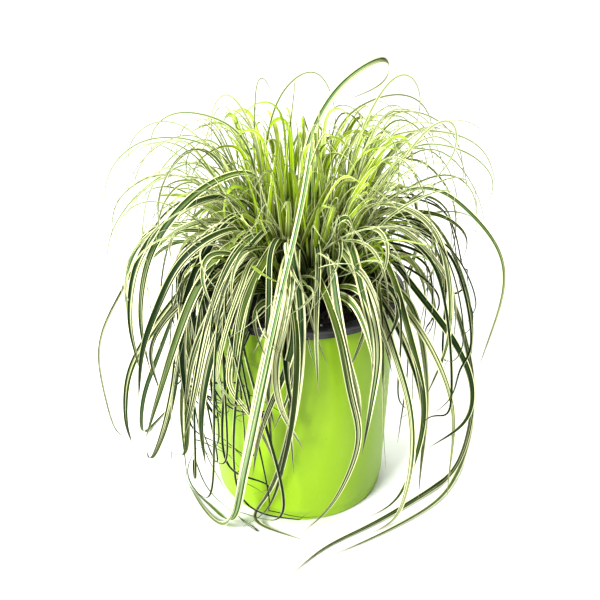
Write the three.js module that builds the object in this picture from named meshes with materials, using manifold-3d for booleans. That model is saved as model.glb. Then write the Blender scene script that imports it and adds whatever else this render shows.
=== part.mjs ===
// A weeping variegated sedge in its pot: a lime cover pot, the black nursery pot that stands in it,
// the soil, and a tussock of leafy shoots whose blades arch over the rim and trail on the table.
// Millimetres, +Z up. The origin is the centre of the cover pot's underside and -Y is the front.
import * as THREE from "three";
import { mergeVertices } from "three/addons/utils/BufferGeometryUtils.js";
import Module from "manifold-3d";

const wasm = await Module();
wasm.setup();

// ---- Driving dimensions -------------------------------------------------------------------------

const FIT_GAP = 0.3; // between pieces that touch
const LATHE_SIDES = 40;

// Nursery pot: its lip hangs over the cover pot's edge.
const RIM_HEIGHT = 186; // top of the lip above the table
const LIP_RADIUS = 85;
const LIP_DROP = 8; // height of the lip's outer band
const LIP_SKIN = 1.6; // thickness of the lip
const BEAD_HEIGHT = 2.6; // the bead round the lip's top edge
const BEAD_DEPTH = 1.1;
const NURSERY_WALL = 1.2;
const NURSERY_TOP_RADIUS = 77.2; // outside, just under the lip
const NURSERY_FOOT_RADIUS = 66;
const NURSERY_FOOT_HEIGHT = 6; // its floor above the table
const DRAIN_HOLES = 6;
const DRAIN_RADIUS = 5;
const DRAIN_CIRCLE = 44;

// Cover pot
const COVER_TOP_RADIUS = 79.5;
const COVER_FOOT_RADIUS = 75;
const COVER_WALL = 1.6;
const COVER_FLOOR = 3;
const FOOT_HEIGHT = 9; // the foot is stepped in below this
const FOOT_STEP = 0.9;
const FOOT_RING_RADIUS = 66; // inside of the ring that it stands on
const UNDERSIDE_RECESS = 1.2;
const CENTRE_PAD_RADIUS = 14;

// Soil
const SOIL_LEVEL = 170;
const SOIL_RINGS = [1, 0.78, 0.55, 0.3, 0]; // rings of its surface, as shares of its radius
const SOIL_RELIEF = 0.8; // height of its crumbs: [across X, across Y, share] waves over its surface
const SOIL_WAVES = [
  [0.31, 0.27, 1],
  [0.4, 0.53, 0.6],
  [0.71, -0.45, 0.4],
];

// Tussock: one shoot in the middle, then two rings
const RINGS = [
  { count: 1, radius: 0, turn: 0 },
  { count: 5, radius: 15, turn: 20 },
  { count: 9, radius: 30, turn: 8 },
];
const SHEATH_SIDES = 6;
const SHEATH_FOOT_RADIUS = 5.4;
const SHEATH_TOP_RADIUS = 3.6;
const SHEATH_SUNK = 12; // depth of its hole in the soil
const SHEATH_RISE = 16; // height above the soil
const ROOT_RISE = 6; // where the blades start, inside the sheath
const ROOT_SPREAD = 2.2;

// Blades
const BLADE_STEPS = 40; // points of a blade's smooth path
const EASINGS = 7; // how often the path of a drawn blade is eased
const SMOOTHINGS = 3; // how often it is eased where it is kept clear of the pot
const BLADE_TOLERANCE = 3; // how far the straight stretches may leave that path
const LONGEST_STRETCH = 18; // in points of the path
const BLADE_THICKNESS = 0.8; // at the least
const KEEL_SHARE = 0.17; // thickness as a share of the width
const LEAST_SHARE = 0.2; // width of the last section, before the tip, as a share of the widest
const TABLE_CLEARANCE = 1.4; // of a blade that lies on the table
const POT_CLEARANCE = 3; // of a blade's middle line from the lip
const BLADE_GAP = 0.3; // that every blade keeps all round
const SEED = 20260877;

// How a drawn blade runs: how much lower its crest is for its reach, where it is on its way down as
// shares of the reach and of the height, how far its face is turned to the front where it grows at the
// sides, and how far its heading drifts, its face turns and its end trails.
const LEAN = 0.3;
const FARTHEST = 148; // the reach that a drawn blade doesn't run past
const FALL = { reach: 0.8, height: 0.4 };
const FACING = 60; // degrees
const DRIFT = [-20, 20]; // degrees
const TWIST = [-90, 90]; // degrees, at the tip
const TRAIL = [20, 70];
const TRAIL_TURN = [-80, 80]; // degrees

// The blades of each kind: where they are on their way up to the crest, as shares of its reach and
// height, then the ranges that they draw from: reach of the crest past the shoot's place and height of
// the crest, how far they run out beyond it, how much of that the tip hooks back, how far they fall,
// and their width.
const KINDS = {
  spear: {
    climb: [0.45, 0.6],
    reach: [-2, 72],
    height: [256, 338],
    beyond: [10, 40],
    hook: [0, 0.5],
    drop: [0, 40],
    width: [4.2, 7],
  },
  arch: {
    climb: [0.35, 0.7],
    reach: [36, 86],
    height: [226, 290],
    beyond: [30, 72],
    hook: [0, 0.4],
    drop: [50, 160],
    width: [4.2, 7],
  },
  weeper: {
    climb: [0.35, 0.7],
    reach: [34, 60],
    height: [205, 238],
    beyond: [20, 62],
    hook: [0, 0.3],
    drop: [90, 235],
    width: [5, 7.4],
  },
  sprout: {
    climb: [0.4, 0.65],
    reach: [0, 26],
    height: [206, 250],
    beyond: [6, 26],
    hook: [0, 0.4],
    drop: [2, 26],
    width: [3, 5],
  },
  fine: {
    climb: [0.5, 0.62],
    reach: [-6, 84],
    height: [232, 346],
    beyond: [14, 44],
    hook: [0, 0.4],
    drop: [0, 60],
    width: [1.6, 3.4],
  },
};
// How many of each kind the shoots of each ring carry, and how far their headings spread.
const LEAVES = [
  { counts: { spear: 12, arch: 3, weeper: 0, sprout: 3 }, spread: 180 },
  { counts: { spear: 9, arch: 5, weeper: 1, sprout: 2 }, spread: 75 },
  { counts: { spear: 6, arch: 4, weeper: 3, sprout: 2 }, spread: 48 },
];
// How many fine blades fill the shoots of each ring.
const FINE_LEAVES = [12, 9, 7];
// Drawn blades that come down this near the front run on and fall only a share of the way.
const FRONT = -90; // degrees
const FRONT_SPREAD = 60;
const FRONT_SHARE = 0.3;

// Leaders are broader than their widths below, apart from the loops, keep their breadth longer, and
// turn their faces to the front on their way along the sides.
const LEADER_BREADTH = 1.35;
const LOOP_BREADTH = 0.95;
const LOOPS = 15; // how many leaders are loops over the top; they come first, the broadest in front
const LEADER_TWIST = 100; // degrees
const TAPER = { drawn: 2.4, leader: 4 };
// Fellow blades that run beside a leader: their turn, reach, lift and breadth against it.
const FELLOW_TURN = [-11, 11]; // degrees
const FELLOW_REACH = [0.93, 1.08];
const FELLOW_LIFT = [-24, 8];
const FELLOW_BREADTH = [0.55, 0.95];
const FELLOW_SHORT = 3; // a fellow ends fewer places before its leader
const ALONE = 39; // how many leaders have no fellow; they come first

// The blades that set the plant's outline: the width, then [heading, reach, height] places on the way
// from the shoot to the tip. Headings are degrees from +X towards +Y.
const LEADERS = [
  // Long loops over the top
  [4.6, [20, 4, 290], [20, 30, 338], [20, 66, 358], [42, 90, 334], [64, 76, 318]],
  [2.4, [0, 40, 290], [-5, 64, 345], [-5, 76, 352], [-5, 87, 335], [-8, 82, 305]],
  [2, [142, 33, 295], [118, 23, 337], [60, 23, 350], [38, 32, 328], [36, 34, 300]],
  [2, [157, 38, 305], [152, 33, 348], [135, 24, 325]],
  [2.4, [165, 35, 302], [165, 57, 335], [165, 69, 320], [165, 70, 286]],
  [2.4, [170, 45, 304], [170, 97, 319], [170, 118, 300], [172, 112, 270]],
  [2.2, [30, 34, 308], [30, 76, 328], [30, 111, 322], [30, 129, 295], [25, 109, 255]],
  [2, [20, 60, 307], [20, 91, 318], [20, 132, 297], [20, 146, 262], [18, 143, 235]],
  [2.2, [0, 60, 300], [0, 113, 307], [0, 140, 292], [0, 153, 258]],
  [2.2, [-15, 80, 300], [-15, 120, 301], [-15, 143, 281], [-15, 137, 255]],
  [2.6, [-20, 70, 278], [-20, 98, 320], [-20, 111, 325], [-22, 115, 303], [-24, 96, 274]],
  [2, [175, 60, 290], [175, 114, 301], [175, 148, 277], [175, 160, 234]],
  [2.2, [170, 66, 301], [170, 100, 287], [170, 127, 246], [170, 134, 190], [172, 128, 130]],
  [2.2, [185, 60, 268], [185, 93, 277], [185, 113, 277], [185, 140, 257], [185, 147, 225]],
  [2.2, [180, 70, 285], [180, 117, 267], [180, 150, 228], [180, 158, 190]],
  [4.6, [-60, 16, 290], [-70, 30, 316], [-88, 65, 275], [-97, 100, 222], [-105, 112, 146],
    [-114, 110, 70], [-125, 108, 1.4], [-142, 104, 1.4], [-168, 106, 1.4]],
  [6.8, [-98, 40, 226], [-98, 66, 234], [-99, 90, 212], [-106, 102, 146], [-115, 101, 70],
    [-126, 99, 1.4], [-143, 96, 1.4], [-160, 104, 1.4]],
  // To the left
  [3, [170, 60, 255], [170, 104, 246], [170, 148, 180], [170, 186, 110], [170, 188, 62],
    [170, 176, 1.4], [158, 168, 1.4]],
  [5, [188, 50, 225], [188, 76, 205], [190, 110, 168], [190, 143, 118], [190, 152, 70],
    [184, 152, 30]],
  [5.4, [170, 60, 215], [170, 88, 190], [170, 131, 100], [170, 149, 55], [165, 160, 1.4],
    [145, 166, 1.4]],
  [6.6, [198, 50, 222], [198, 80, 207], [195, 98, 160], [190, 108, 100], [184, 124, 40],
    [180, 141, 1.4], [172, 150, 1.4]],
  [6.4, [206, 45, 226], [206, 78, 211], [203, 95, 160], [190, 100, 60], [177, 112, 1.4],
    [172, 132, 1.4]],
  [4.8, [205, 34, 280], [205, 56, 282], [205, 89, 267], [205, 119, 232], [205, 132, 180],
    [204, 128, 130]],
  [5, [200, 38, 253], [200, 60, 265], [200, 87, 260], [200, 123, 230], [200, 138, 180],
    [198, 134, 120]],
  [5.6, [215, 40, 250], [215, 62, 254], [215, 88, 225], [215, 104, 190], [215, 109, 130],
    [214, 102, 80]],
  // To the right
  [3.2, [-10, 60, 255], [-10, 99, 271], [-10, 130, 252], [-10, 155, 222], [-10, 161, 195],
    [-10, 150, 120]],
  [4, [-25, 50, 255], [-25, 80, 262], [-25, 105, 250], [-25, 120, 215], [-25, 125, 160],
    [-25, 112, 105]],
  [3, [5, 60, 245], [5, 100, 240], [5, 132, 195], [5, 150, 140], [5, 152, 90]],
  [5, [-20, 40, 233], [-20, 60, 228], [-20, 100, 188], [-20, 130, 152], [-20, 146, 118],
    [-22, 146, 88], [-28, 120, 62]],
  [4.8, [-44, 50, 215], [-45, 72, 206], [-45, 100, 158], [-45, 118, 116], [-45, 122, 60],
    [-46, 110, 1.4], [-56, 107, 1.4]],
  [4.4, [-35, 45, 243], [-35, 73, 229], [-35, 100, 170], [-35, 118, 110], [-35, 112, 45],
    [-38, 98, 1.4], [-50, 92, 1.4]],
  [4.8, [-2, 60, 240], [-2, 100, 215], [-2, 138, 140], [-4, 152, 70], [-8, 140, 1.4],
    [-27, 112, 1.4], [-60, 100, 1.4], [-80, 106, 1.4], [-92, 130, 1.4]],
  [4, [8, 65, 235], [8, 110, 200], [8, 150, 110], [7, 164, 40], [4, 158, 1.4], [-20, 134, 1.4],
    [-42, 116, 1.4], [-66, 112, 1.4], [-76, 115, 1.4]],
  // Over the front of the lip, right of its middle
  [5.4, [-60, 40, 232], [-60, 62, 234], [-58, 88, 210], [-55, 98, 170], [-56, 96, 120],
    [-58, 92, 72]],
  [4.6, [-80, 40, 215], [-80, 70, 222], [-74, 93, 192], [-68, 97, 140], [-62, 96, 90],
    [-74, 92, 30], [-88, 88, 1.4]],
  [3.4, [-76, 40, 240], [-78, 62, 237], [-83, 92, 190], [-82, 95, 142]],
  [5, [-55, 40, 243], [-55, 60, 241], [-60, 86, 215], [-57, 94, 181], [-55, 96, 136]],
  [2.6, [-28, 62, 216], [-44, 82, 197], [-51, 98, 151], [-52, 104, 99], [-49, 104, 58]],
  [4.6, [-71, 66, 230], [-73, 86, 209], [-70, 94, 173], [-63, 96, 129], [-61, 94, 89]],
  // Over the front of the lip, left of its middle
  [5.4, [-97, 40, 240], [-96, 70, 246], [-90, 92, 218], [-90, 98, 170], [-94, 93, 112],
    [-106, 85, 40], [-118, 88, 1.4], [-90, 96, 1.4]],
  [5, [-107, 40, 238], [-108, 68, 238], [-114, 92, 212], [-117, 99, 178], [-120, 99, 140]],
  [5, [-95, 60, 228], [-95, 90, 210], [-100, 100, 164], [-98, 97, 127], [-88, 90, 86]],
  [5.4, [235, 40, 222], [236, 60, 223], [236, 88, 200], [232, 104, 165], [228, 112, 110],
    [226, 108, 60]],
  [4.6, [-92, 50, 236], [-92, 70, 234], [-92, 88, 212], [-93, 95, 181], [-97, 97, 156],
    [-103, 99, 129], [-108, 100, 100], [-112, 98, 62]],
  [4, [-97, 50, 238], [-97, 72, 234], [-94, 89, 212], [-95, 93, 136], [-93, 92, 65]],
  [3.6, [-114, 66, 229], [-115, 86, 207], [-118, 95, 183], [-121, 99, 156], [-122, 100, 141],
    [-117, 98, 128], [-111, 97, 116], [-106, 96, 98], [-100, 94, 66]],
  [5.6, [-131, 50, 226], [-131, 70, 225], [-132, 90, 202], [-132, 104, 171], [-136, 112, 124],
    [-141, 118, 83]],
  [5.2, [-138, 50, 236], [-138, 76, 233], [-140, 98, 208], [-138, 118, 180], [-142, 132, 134],
    [-152, 140, 78]],
  [4.8, [-140, 50, 242], [-140, 80, 245], [-145, 104, 228], [-143, 128, 198], [-144, 140, 170],
    [-146, 146, 125]],
];

// ---- Small tools --------------------------------------------------------------------------------

const radians = THREE.MathUtils.degToRad;

// A point at a heading in degrees (0 is +X, 90 is +Y), a reach from the axis and a height.
function polar(heading, reach, height) {
  return new THREE.Vector3(
    reach * Math.cos(radians(heading)),
    reach * Math.sin(radians(heading)),
    height,
  );
}

// A generator of numbers from 0 to 1, the same on every run.
function seeded(seed) {
  let state = seed;
  return () => {
    state = (state * 48271) % 2147483647;
    return state / 2147483647;
  };
}

const between = (random, [least, most]) => least + (most - least) * random();

// A closed geometry as a solid that can be joined and cut.
function solidOf(geometry) {
  const bare = geometry.index ? geometry.toNonIndexed() : geometry.clone();
  bare.deleteAttribute("normal");
  bare.deleteAttribute("uv");
  const merged = mergeVertices(bare, 1e-3);
  return new wasm.Manifold(
    new wasm.Mesh({
      numProp: 3,
      vertProperties: merged.getAttribute("position").array,
      triVerts: new Uint32Array(merged.index.array),
    }),
  );
}

function geometryOf(solid) {
  const mesh = solid.getMesh();
  const positions = new Float32Array(mesh.numVert * 3);
  for (let i = 0; i < mesh.numVert; i++) {
    positions.set(mesh.vertProperties.subarray(i * mesh.numProp, i * mesh.numProp + 3), i * 3);
  }
  const geometry = new THREE.BufferGeometry();
  geometry.setAttribute("position", new THREE.BufferAttribute(positions, 3));
  geometry.setIndex(new THREE.BufferAttribute(mesh.triVerts, 1));
  geometry.computeVertexNormals();
  return geometry;
}

// A turned body about +Z from [radius, height] points that start and end on the axis.
function turned(outline, sides = LATHE_SIDES) {
  const points = outline.map(([radius, height]) => new THREE.Vector2(radius, height));
  return new THREE.LatheGeometry(points, sides).rotateX(Math.PI / 2);
}

function finish(color, roughness) {
  return new THREE.MeshStandardMaterial({ color, roughness, metalness: 0 });
}

const LIME_PLASTIC = finish(0x9be32a, 0.35);
const BLACK_PLASTIC = finish(0x1b1b20, 0.45);
const POTTING_SOIL = finish(0x241a14, 0.95);
const GREEN_BLADE = finish(0x8fae4a, 0.5);

function named(name, geometry, material) {
  const mesh = new THREE.Mesh(geometry, material);
  mesh.name = name;
  return mesh;
}

// ---- Pots and soil ------------------------------------------------------------------------------

// Outside radius of the cover pot's wall at a height.
function coverRadius(height) {
  return COVER_FOOT_RADIUS + ((COVER_TOP_RADIUS - COVER_FOOT_RADIUS) * height) / RIM_HEIGHT;
}

// Outside radius of the nursery pot's wall at a height.
function nurseryRadius(height) {
  const share = (height - NURSERY_FOOT_HEIGHT) / (RIM_HEIGHT - NURSERY_FOOT_HEIGHT);
  return NURSERY_FOOT_RADIUS + (NURSERY_TOP_RADIUS - NURSERY_FOOT_RADIUS) * share;
}

function coverPot() {
  const top = RIM_HEIGHT - LIP_SKIN - FIT_GAP;
  const stepTop = FOOT_HEIGHT + FOOT_STEP;
  return turned([
    [0, 0],
    [CENTRE_PAD_RADIUS, 0],
    [CENTRE_PAD_RADIUS + 1, UNDERSIDE_RECESS],
    [FOOT_RING_RADIUS, UNDERSIDE_RECESS],
    [FOOT_RING_RADIUS + 1, 0],
    [COVER_FOOT_RADIUS - FOOT_STEP - 1.2, 0],
    [COVER_FOOT_RADIUS - FOOT_STEP, 1.2],
    [coverRadius(FOOT_HEIGHT) - FOOT_STEP, FOOT_HEIGHT],
    [coverRadius(stepTop), stepTop],
    [coverRadius(top), top],
    [coverRadius(top) - COVER_WALL, top],
    [coverRadius(COVER_FLOOR) - COVER_WALL - FOOT_STEP, COVER_FLOOR],
    [0, COVER_FLOOR],
  ]);
}

function nurseryPot() {
  const lipFoot = RIM_HEIGHT - LIP_DROP;
  const bandRadius = LIP_RADIUS - BEAD_DEPTH;
  const innerTop = NURSERY_TOP_RADIUS - NURSERY_WALL;
  const floorTop = NURSERY_FOOT_HEIGHT + NURSERY_WALL;
  const shell = solidOf(
    turned([
      [0, NURSERY_FOOT_HEIGHT],
      [NURSERY_FOOT_RADIUS - 2, NURSERY_FOOT_HEIGHT],
      [nurseryRadius(NURSERY_FOOT_HEIGHT + 2), NURSERY_FOOT_HEIGHT + 2],
      [NURSERY_TOP_RADIUS, RIM_HEIGHT - LIP_SKIN],
      [bandRadius - LIP_SKIN, RIM_HEIGHT - LIP_SKIN],
      [bandRadius - LIP_SKIN, lipFoot],
      [bandRadius, lipFoot],
      [bandRadius, RIM_HEIGHT - BEAD_HEIGHT - BEAD_DEPTH],
      [LIP_RADIUS, RIM_HEIGHT - BEAD_HEIGHT],
      [LIP_RADIUS, RIM_HEIGHT - 0.8],
      [LIP_RADIUS - 0.8, RIM_HEIGHT],
      [innerTop + 1, RIM_HEIGHT],
      [innerTop, RIM_HEIGHT - 1],
      [nurseryRadius(floorTop) - NURSERY_WALL, floorTop],
      [0, floorTop],
    ]),
  );
  const drill = new THREE.CylinderGeometry(DRAIN_RADIUS, DRAIN_RADIUS, 4 * NURSERY_WALL, 8);
  drill.rotateX(Math.PI / 2);
  let pot = shell;
  for (let i = 0; i < DRAIN_HOLES; i++) {
    const at = polar((360 / DRAIN_HOLES) * i, DRAIN_CIRCLE, NURSERY_FOOT_HEIGHT + NURSERY_WALL / 2);
    pot = pot.subtract(solidOf(drill.clone().translate(at.x, at.y, at.z)));
  }
  return geometryOf(pot);
}

// Height of the soil at a point of its surface.
function soilHeight(x, y) {
  const crumbs = SOIL_WAVES.map(([acrossX, acrossY, share]) => share * Math.sin(acrossX * x + acrossY * y));
  return SOIL_LEVEL + SOIL_RELIEF * crumbs.reduce((sum, crumb) => sum + crumb, 0);
}

// The soil fills the nursery pot, with a hole for each shoot.
function soilBody(shoots) {
  const foot = NURSERY_FOOT_HEIGHT + NURSERY_WALL + FIT_GAP;
  const inside = (height) => nurseryRadius(height) - NURSERY_WALL - FIT_GAP;
  const surface = SOIL_RINGS.map((share) => [share * inside(SOIL_LEVEL), SOIL_LEVEL]);
  const geometry = turned([[0, foot], [inside(foot), foot], ...surface], LATHE_SIDES / 2);
  const at = geometry.getAttribute("position");
  for (let i = 0; i < at.count; i++) {
    if (at.getZ(i) > foot) at.setZ(i, soilHeight(at.getX(i), at.getY(i)));
  }
  let soil = solidOf(geometry);
  for (const shoot of shoots) soil = soil.subtract(sheath(shoot, FIT_GAP));
  return geometryOf(soil);
}

// ---- Shoots -------------------------------------------------------------------------------------

// Where each shoot of the tussock stands.
function shootPlaces() {
  return RINGS.flatMap(({ count, radius, turn }, ring) =>
    Array.from({ length: count }, (_, i) => {
      const heading = turn + (360 / count) * i;
      return { ring, heading, at: polar(heading, radius, SOIL_LEVEL) };
    }),
  );
}

// The sheath that a shoot's blades grow from. With a margin it is the hole that the sheath stands in.
function sheath(shoot, margin = 0) {
  const sunk = SHEATH_SUNK + margin;
  const foot = SHEATH_FOOT_RADIUS + margin;
  const top = margin ? foot : SHEATH_TOP_RADIUS;
  const geometry = new THREE.CylinderGeometry(top, foot, sunk + SHEATH_RISE, SHEATH_SIDES);
  geometry.rotateX(Math.PI / 2).rotateZ(radians(shoot.heading));
  geometry.translate(shoot.at.x, shoot.at.y, shoot.at.z + (SHEATH_RISE - sunk) / 2);
  return solidOf(geometry);
}

// The shoot that stands nearest to a place.
function shootBelow(shoots, place) {
  const off = (shoot) => Math.hypot(shoot.at.x - place.x, shoot.at.y - place.y);
  return shoots.reduce((best, shoot) => (off(shoot) < off(best) ? shoot : best));
}

function leaderBlade(shoots, width, places) {
  const route = places.map(([heading, reach, height]) => polar(heading, reach, height));
  const heading = places[0][0];
  return {
    shoot: shootBelow(shoots, route[0]),
    heading,
    route,
    width,
    twist: LEADER_TWIST * Math.cos(radians(heading)),
    facing: 0,
    easings: 0,
    taper: TAPER.leader,
  };
}

// The leaders, then the fellows that run beside them.
function leaderBlades(shoots, random) {
  const leaders = LEADERS.map(([width, ...places], i) => {
    const breadth = i > 0 && i < LOOPS ? LOOP_BREADTH : LEADER_BREADTH;
    return leaderBlade(shoots, width * breadth, places);
  });
  const fellows = LEADERS.slice(ALONE).map(([width, ...places]) => {
    const turn = between(random, FELLOW_TURN);
    const scale = between(random, FELLOW_REACH);
    const lift = between(random, FELLOW_LIFT);
    const last = places.length - Math.floor(between(random, [0, FELLOW_SHORT]));
    const beside = places.slice(0, last).map(([heading, reach, height]) => [
      heading + turn,
      reach * scale,
      height > TABLE_CLEARANCE ? height + lift : height,
    ]);
    return leaderBlade(shoots, width * LEADER_BREADTH * between(random, FELLOW_BREADTH), beside);
  });
  return [...leaders, ...fellows];
}

// How far a heading is from another, in degrees.
function headingGap(heading, other) {
  return Math.abs(((((heading - other + 180) % 360) + 360) % 360) - 180);
}

function drawnBlade(shoot, kind, random) {
  const rule = KINDS[kind];
  const { spread } = LEAVES[shoot.ring];
  const heading = shoot.heading + between(random, [-spread, spread]);
  const drift = between(random, DRIFT);
  const reach = RINGS[shoot.ring].radius + between(random, rule.reach);
  const height = between(random, rule.height) - LEAN * reach;
  let beyond = Math.min(between(random, rule.beyond), FARTHEST - reach);
  const hook = between(random, rule.hook);
  let drop = between(random, rule.drop);
  if (headingGap(heading + drift, FRONT) < FRONT_SPREAD) {
    beyond *= FRONT_SHARE;
    drop *= FRONT_SHARE;
  }
  drop = Math.min(drop, height - TABLE_CLEARANCE);
  const width = between(random, rule.width);
  const twist = between(random, TWIST);
  const trail = between(random, TRAIL);
  const trailTurn = between(random, TRAIL_TURN);
  const root = rootOf(shoot, heading);
  const crest = polar(heading + drift / 4, reach, height);
  const tip = polar(heading + drift, reach + beyond * (1 - hook), height - drop);
  const route = [
    root.clone().lerp(crest, rule.climb[0]).setZ(root.z + rule.climb[1] * (height - root.z)),
    crest,
    polar(heading + drift / 2, reach + FALL.reach * beyond, height - FALL.height * drop),
    tip,
  ];
  if (tip.z <= TABLE_CLEARANCE) {
    route.push(tip.clone().add(polar(heading + drift + trailTurn, trail, 0)));
  }
  const facing = FACING * Math.cos(radians(heading));
  return { shoot, heading, route, width, twist, facing, easings: EASINGS, taper: TAPER.drawn };
}

// The drawn blades of every shoot, one of each shoot in turn.
function drawnBlades(shoots, countsOf, random) {
  const queues = shoots.map((shoot) =>
    Object.entries(countsOf(shoot)).flatMap(([kind, count]) =>
      Array.from({ length: count }, () => drawnBlade(shoot, kind, random)),
    ),
  );
  const blades = [];
  const longest = Math.max(...queues.map((queue) => queue.length));
  for (let i = 0; i < longest; i++) {
    for (const queue of queues) {
      if (i < queue.length) blades.push(queue[i]);
    }
  }
  return blades;
}

// Every blade of the tussock: the leaders, their fellows, the drawn blades and the fine ones.
function allBlades(shoots) {
  const random = seeded(SEED);
  return [
    ...leaderBlades(shoots, random),
    ...drawnBlades(shoots, ({ ring }) => LEAVES[ring].counts, random),
    ...drawnBlades(shoots, ({ ring }) => ({ fine: FINE_LEAVES[ring] }), seeded(SEED + 3)),
  ];
}

// Where a blade starts, inside its shoot's sheath.
function rootOf(shoot, heading) {
  return shoot.at.clone().add(polar(heading, ROOT_SPREAD, ROOT_RISE));
}

// Keeps a point of a blade off the table, the soil and the pot's lip.
function keepClear(point) {
  const reach = Math.hypot(point.x, point.y);
  const lipReach = LIP_RADIUS + POT_CLEARANCE;
  const lipHeight = RIM_HEIGHT + POT_CLEARANCE;
  if (reach < lipReach && point.z < lipHeight) {
    if (reach < NURSERY_TOP_RADIUS - 3 * POT_CLEARANCE) {
      point.z = Math.max(point.z, SOIL_LEVEL + POT_CLEARANCE);
    } else if (lipHeight - point.z < lipReach - reach) {
      point.z = lipHeight;
    } else {
      point.x *= lipReach / reach;
      point.y *= lipReach / reach;
    }
  }
  point.z = Math.max(point.z, TABLE_CLEARANCE);
}

// A path after its bends are evened out, over and over.
function eased(path, times) {
  let points = path;
  for (let time = 0; time < times; time++) {
    points = points.map((point, i, all) => {
      if (i === 0 || i === BLADE_STEPS) return point;
      return all[i - 1].clone().add(all[i + 1]).multiplyScalar(0.25).addScaledVector(point, 0.5);
    });
  }
  return points;
}

// The middle line of a blade, from inside its sheath through the places on its route.
function bladePath(blade) {
  const curve = new THREE.CatmullRomCurve3([rootOf(blade.shoot, blade.heading), ...blade.route]);
  const points = eased(curve.getSpacedPoints(BLADE_STEPS), blade.easings);
  points.forEach(keepClear);
  return eased(points, SMOOTHINGS);
}

// Which points of a path are needed to follow it within a tolerance, in stretches that aren't too long.
function cornersOf(points, tolerance, first = 0, last = points.length - 1) {
  let worst = tolerance;
  let at = last - first > LONGEST_STRETCH ? Math.round((first + last) / 2) : -1;
  const chord = new THREE.Line3(points[first], points[last]);
  const foot = new THREE.Vector3();
  for (let i = first + 1; i < last; i++) {
    const off = chord.closestPointToPoint(points[i], true, foot).distanceTo(points[i]);
    if (off > worst) {
      worst = off;
      at = i;
    }
  }
  if (at < 0) return [first, last];
  return [...cornersOf(points, tolerance, first, at), ...cornersOf(points, tolerance, at, last).slice(1)];
}

// Width of a blade at a share of its length, as a share of its widest.
function widthShare(share, taper) {
  const opening = Math.min(1, 0.5 + 1.1 * share);
  return Math.max(LEAST_SHARE, opening * (1 - share ** taper) ** 0.85);
}

// The faces between a blade's sections and its tip. The upper side and the keel of a stretch are split
// alike, along the diagonal that stands out above, so that they don't cross where the blade turns.
function bladeFaces(sections) {
  const indices = [0, 2, 1];
  sections.forEach(([left, right, keel], i) => {
    const after = sections[i + 1];
    const up = left.clone().add(right).addScaledVector(keel, -2);
    const rises = after && right.clone().add(after[0]).sub(left).sub(after[1]).dot(up) > 0;
    for (let k = 0; k < 3; k++) {
      const near = [3 * i + k, 3 * i + ((k + 1) % 3)];
      const far = near.map((index) => index + 3);
      if (!after) {
        indices.push(...near, 3 * i + 3);
      } else if ((k === 0) === rises) {
        indices.push(...near, far[0], near[1], far[1], far[0]);
      } else {
        indices.push(...near, far[1], near[0], far[1], far[0]);
      }
    }
  });
  return indices;
}

// A blade as a closed body: three-sided sections with a flat upper side and a keel below, drawn to a point.
function bladeBody(blade, margin = 0) {
  const points = bladePath(blade);
  const corners = cornersOf(points, BLADE_TOLERANCE);
  const side = polar(blade.heading + 90, 1, 0);
  const sections = corners.slice(0, -1).map((index, i) => {
    const here = points[index];
    const before = points[corners[Math.max(i - 1, 0)]];
    const after = points[corners[i + 1]];
    const along = after.clone().sub(here).normalize();
    if (i > 0) along.add(here.clone().sub(before).normalize()).normalize();
    side.addScaledVector(along, -side.dot(along)).normalize();
    const share = index / BLADE_STEPS;
    const turn = radians(blade.facing + blade.twist * share);
    const across = side.clone().applyAxisAngle(along, turn);
    const half = (blade.width * widthShare(share, blade.taper)) / 2 + margin;
    const rise = Math.max(0, here.z - TABLE_CLEARANCE) / half;
    if (Math.abs(across.z) > rise) across.setZ(Math.sign(across.z) * rise).normalize();
    const down = across.clone().cross(along).normalize();
    const depth = Math.max(BLADE_THICKNESS, 2 * half * KEEL_SHARE) + 2 * margin;
    const upper = here.clone().addScaledVector(down, -depth / 3);
    const keel = here.clone().addScaledVector(down, (2 * depth) / 3);
    return [half, -half].map((reach) => upper.clone().addScaledVector(across, reach)).concat(keel);
  });
  const geometry = new THREE.BufferGeometry().setFromPoints([...sections.flat(), points.at(-1)]);
  geometry.setIndex(bladeFaces(sections));
  return solidOf(geometry);
}

function boxOf(solid) {
  const { min, max } = solid.boundingBox();
  return new THREE.Box3(new THREE.Vector3(...min), new THREE.Vector3(...max));
}

// The blades that run clear of the pots, the soil and every other shoot.
function clearBlades(blades, shoots, fixed) {
  const kept = [];
  const obstacles = fixed.map((solid) => ({ solid, box: boxOf(solid), shoot: null }));
  for (const shoot of shoots) {
    const solid = sheath(shoot);
    obstacles.push({ solid, box: boxOf(solid), shoot });
  }
  for (const blade of blades) {
    const grown = bladeBody(blade, BLADE_GAP);
    const box = boxOf(grown);
    const hit = obstacles.some((other) => {
      if (other.shoot === blade.shoot || !other.box.intersectsBox(box)) return false;
      return grown.intersect(other.solid).volume() > 0;
    });
    if (hit) continue;
    const solid = bladeBody(blade);
    kept.push({ ...blade, solid });
    obstacles.push({ solid, box: boxOf(solid), shoot: blade.shoot });
  }
  return kept;
}

// A shoot as one body, without the small hollows and scraps that its crossings leave.
function shootGeometry(shoot, blades) {
  const own = blades.filter((blade) => blade.shoot === shoot).map((blade) => blade.solid);
  const whole = own.reduce((joined, blade) => joined.add(blade), sheath(shoot));
  return geometryOf(whole.decompose().sort((a, b) => b.volume() - a.volume())[0]);
}

// ---- The potted sedge ---------------------------------------------------------------------------

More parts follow.
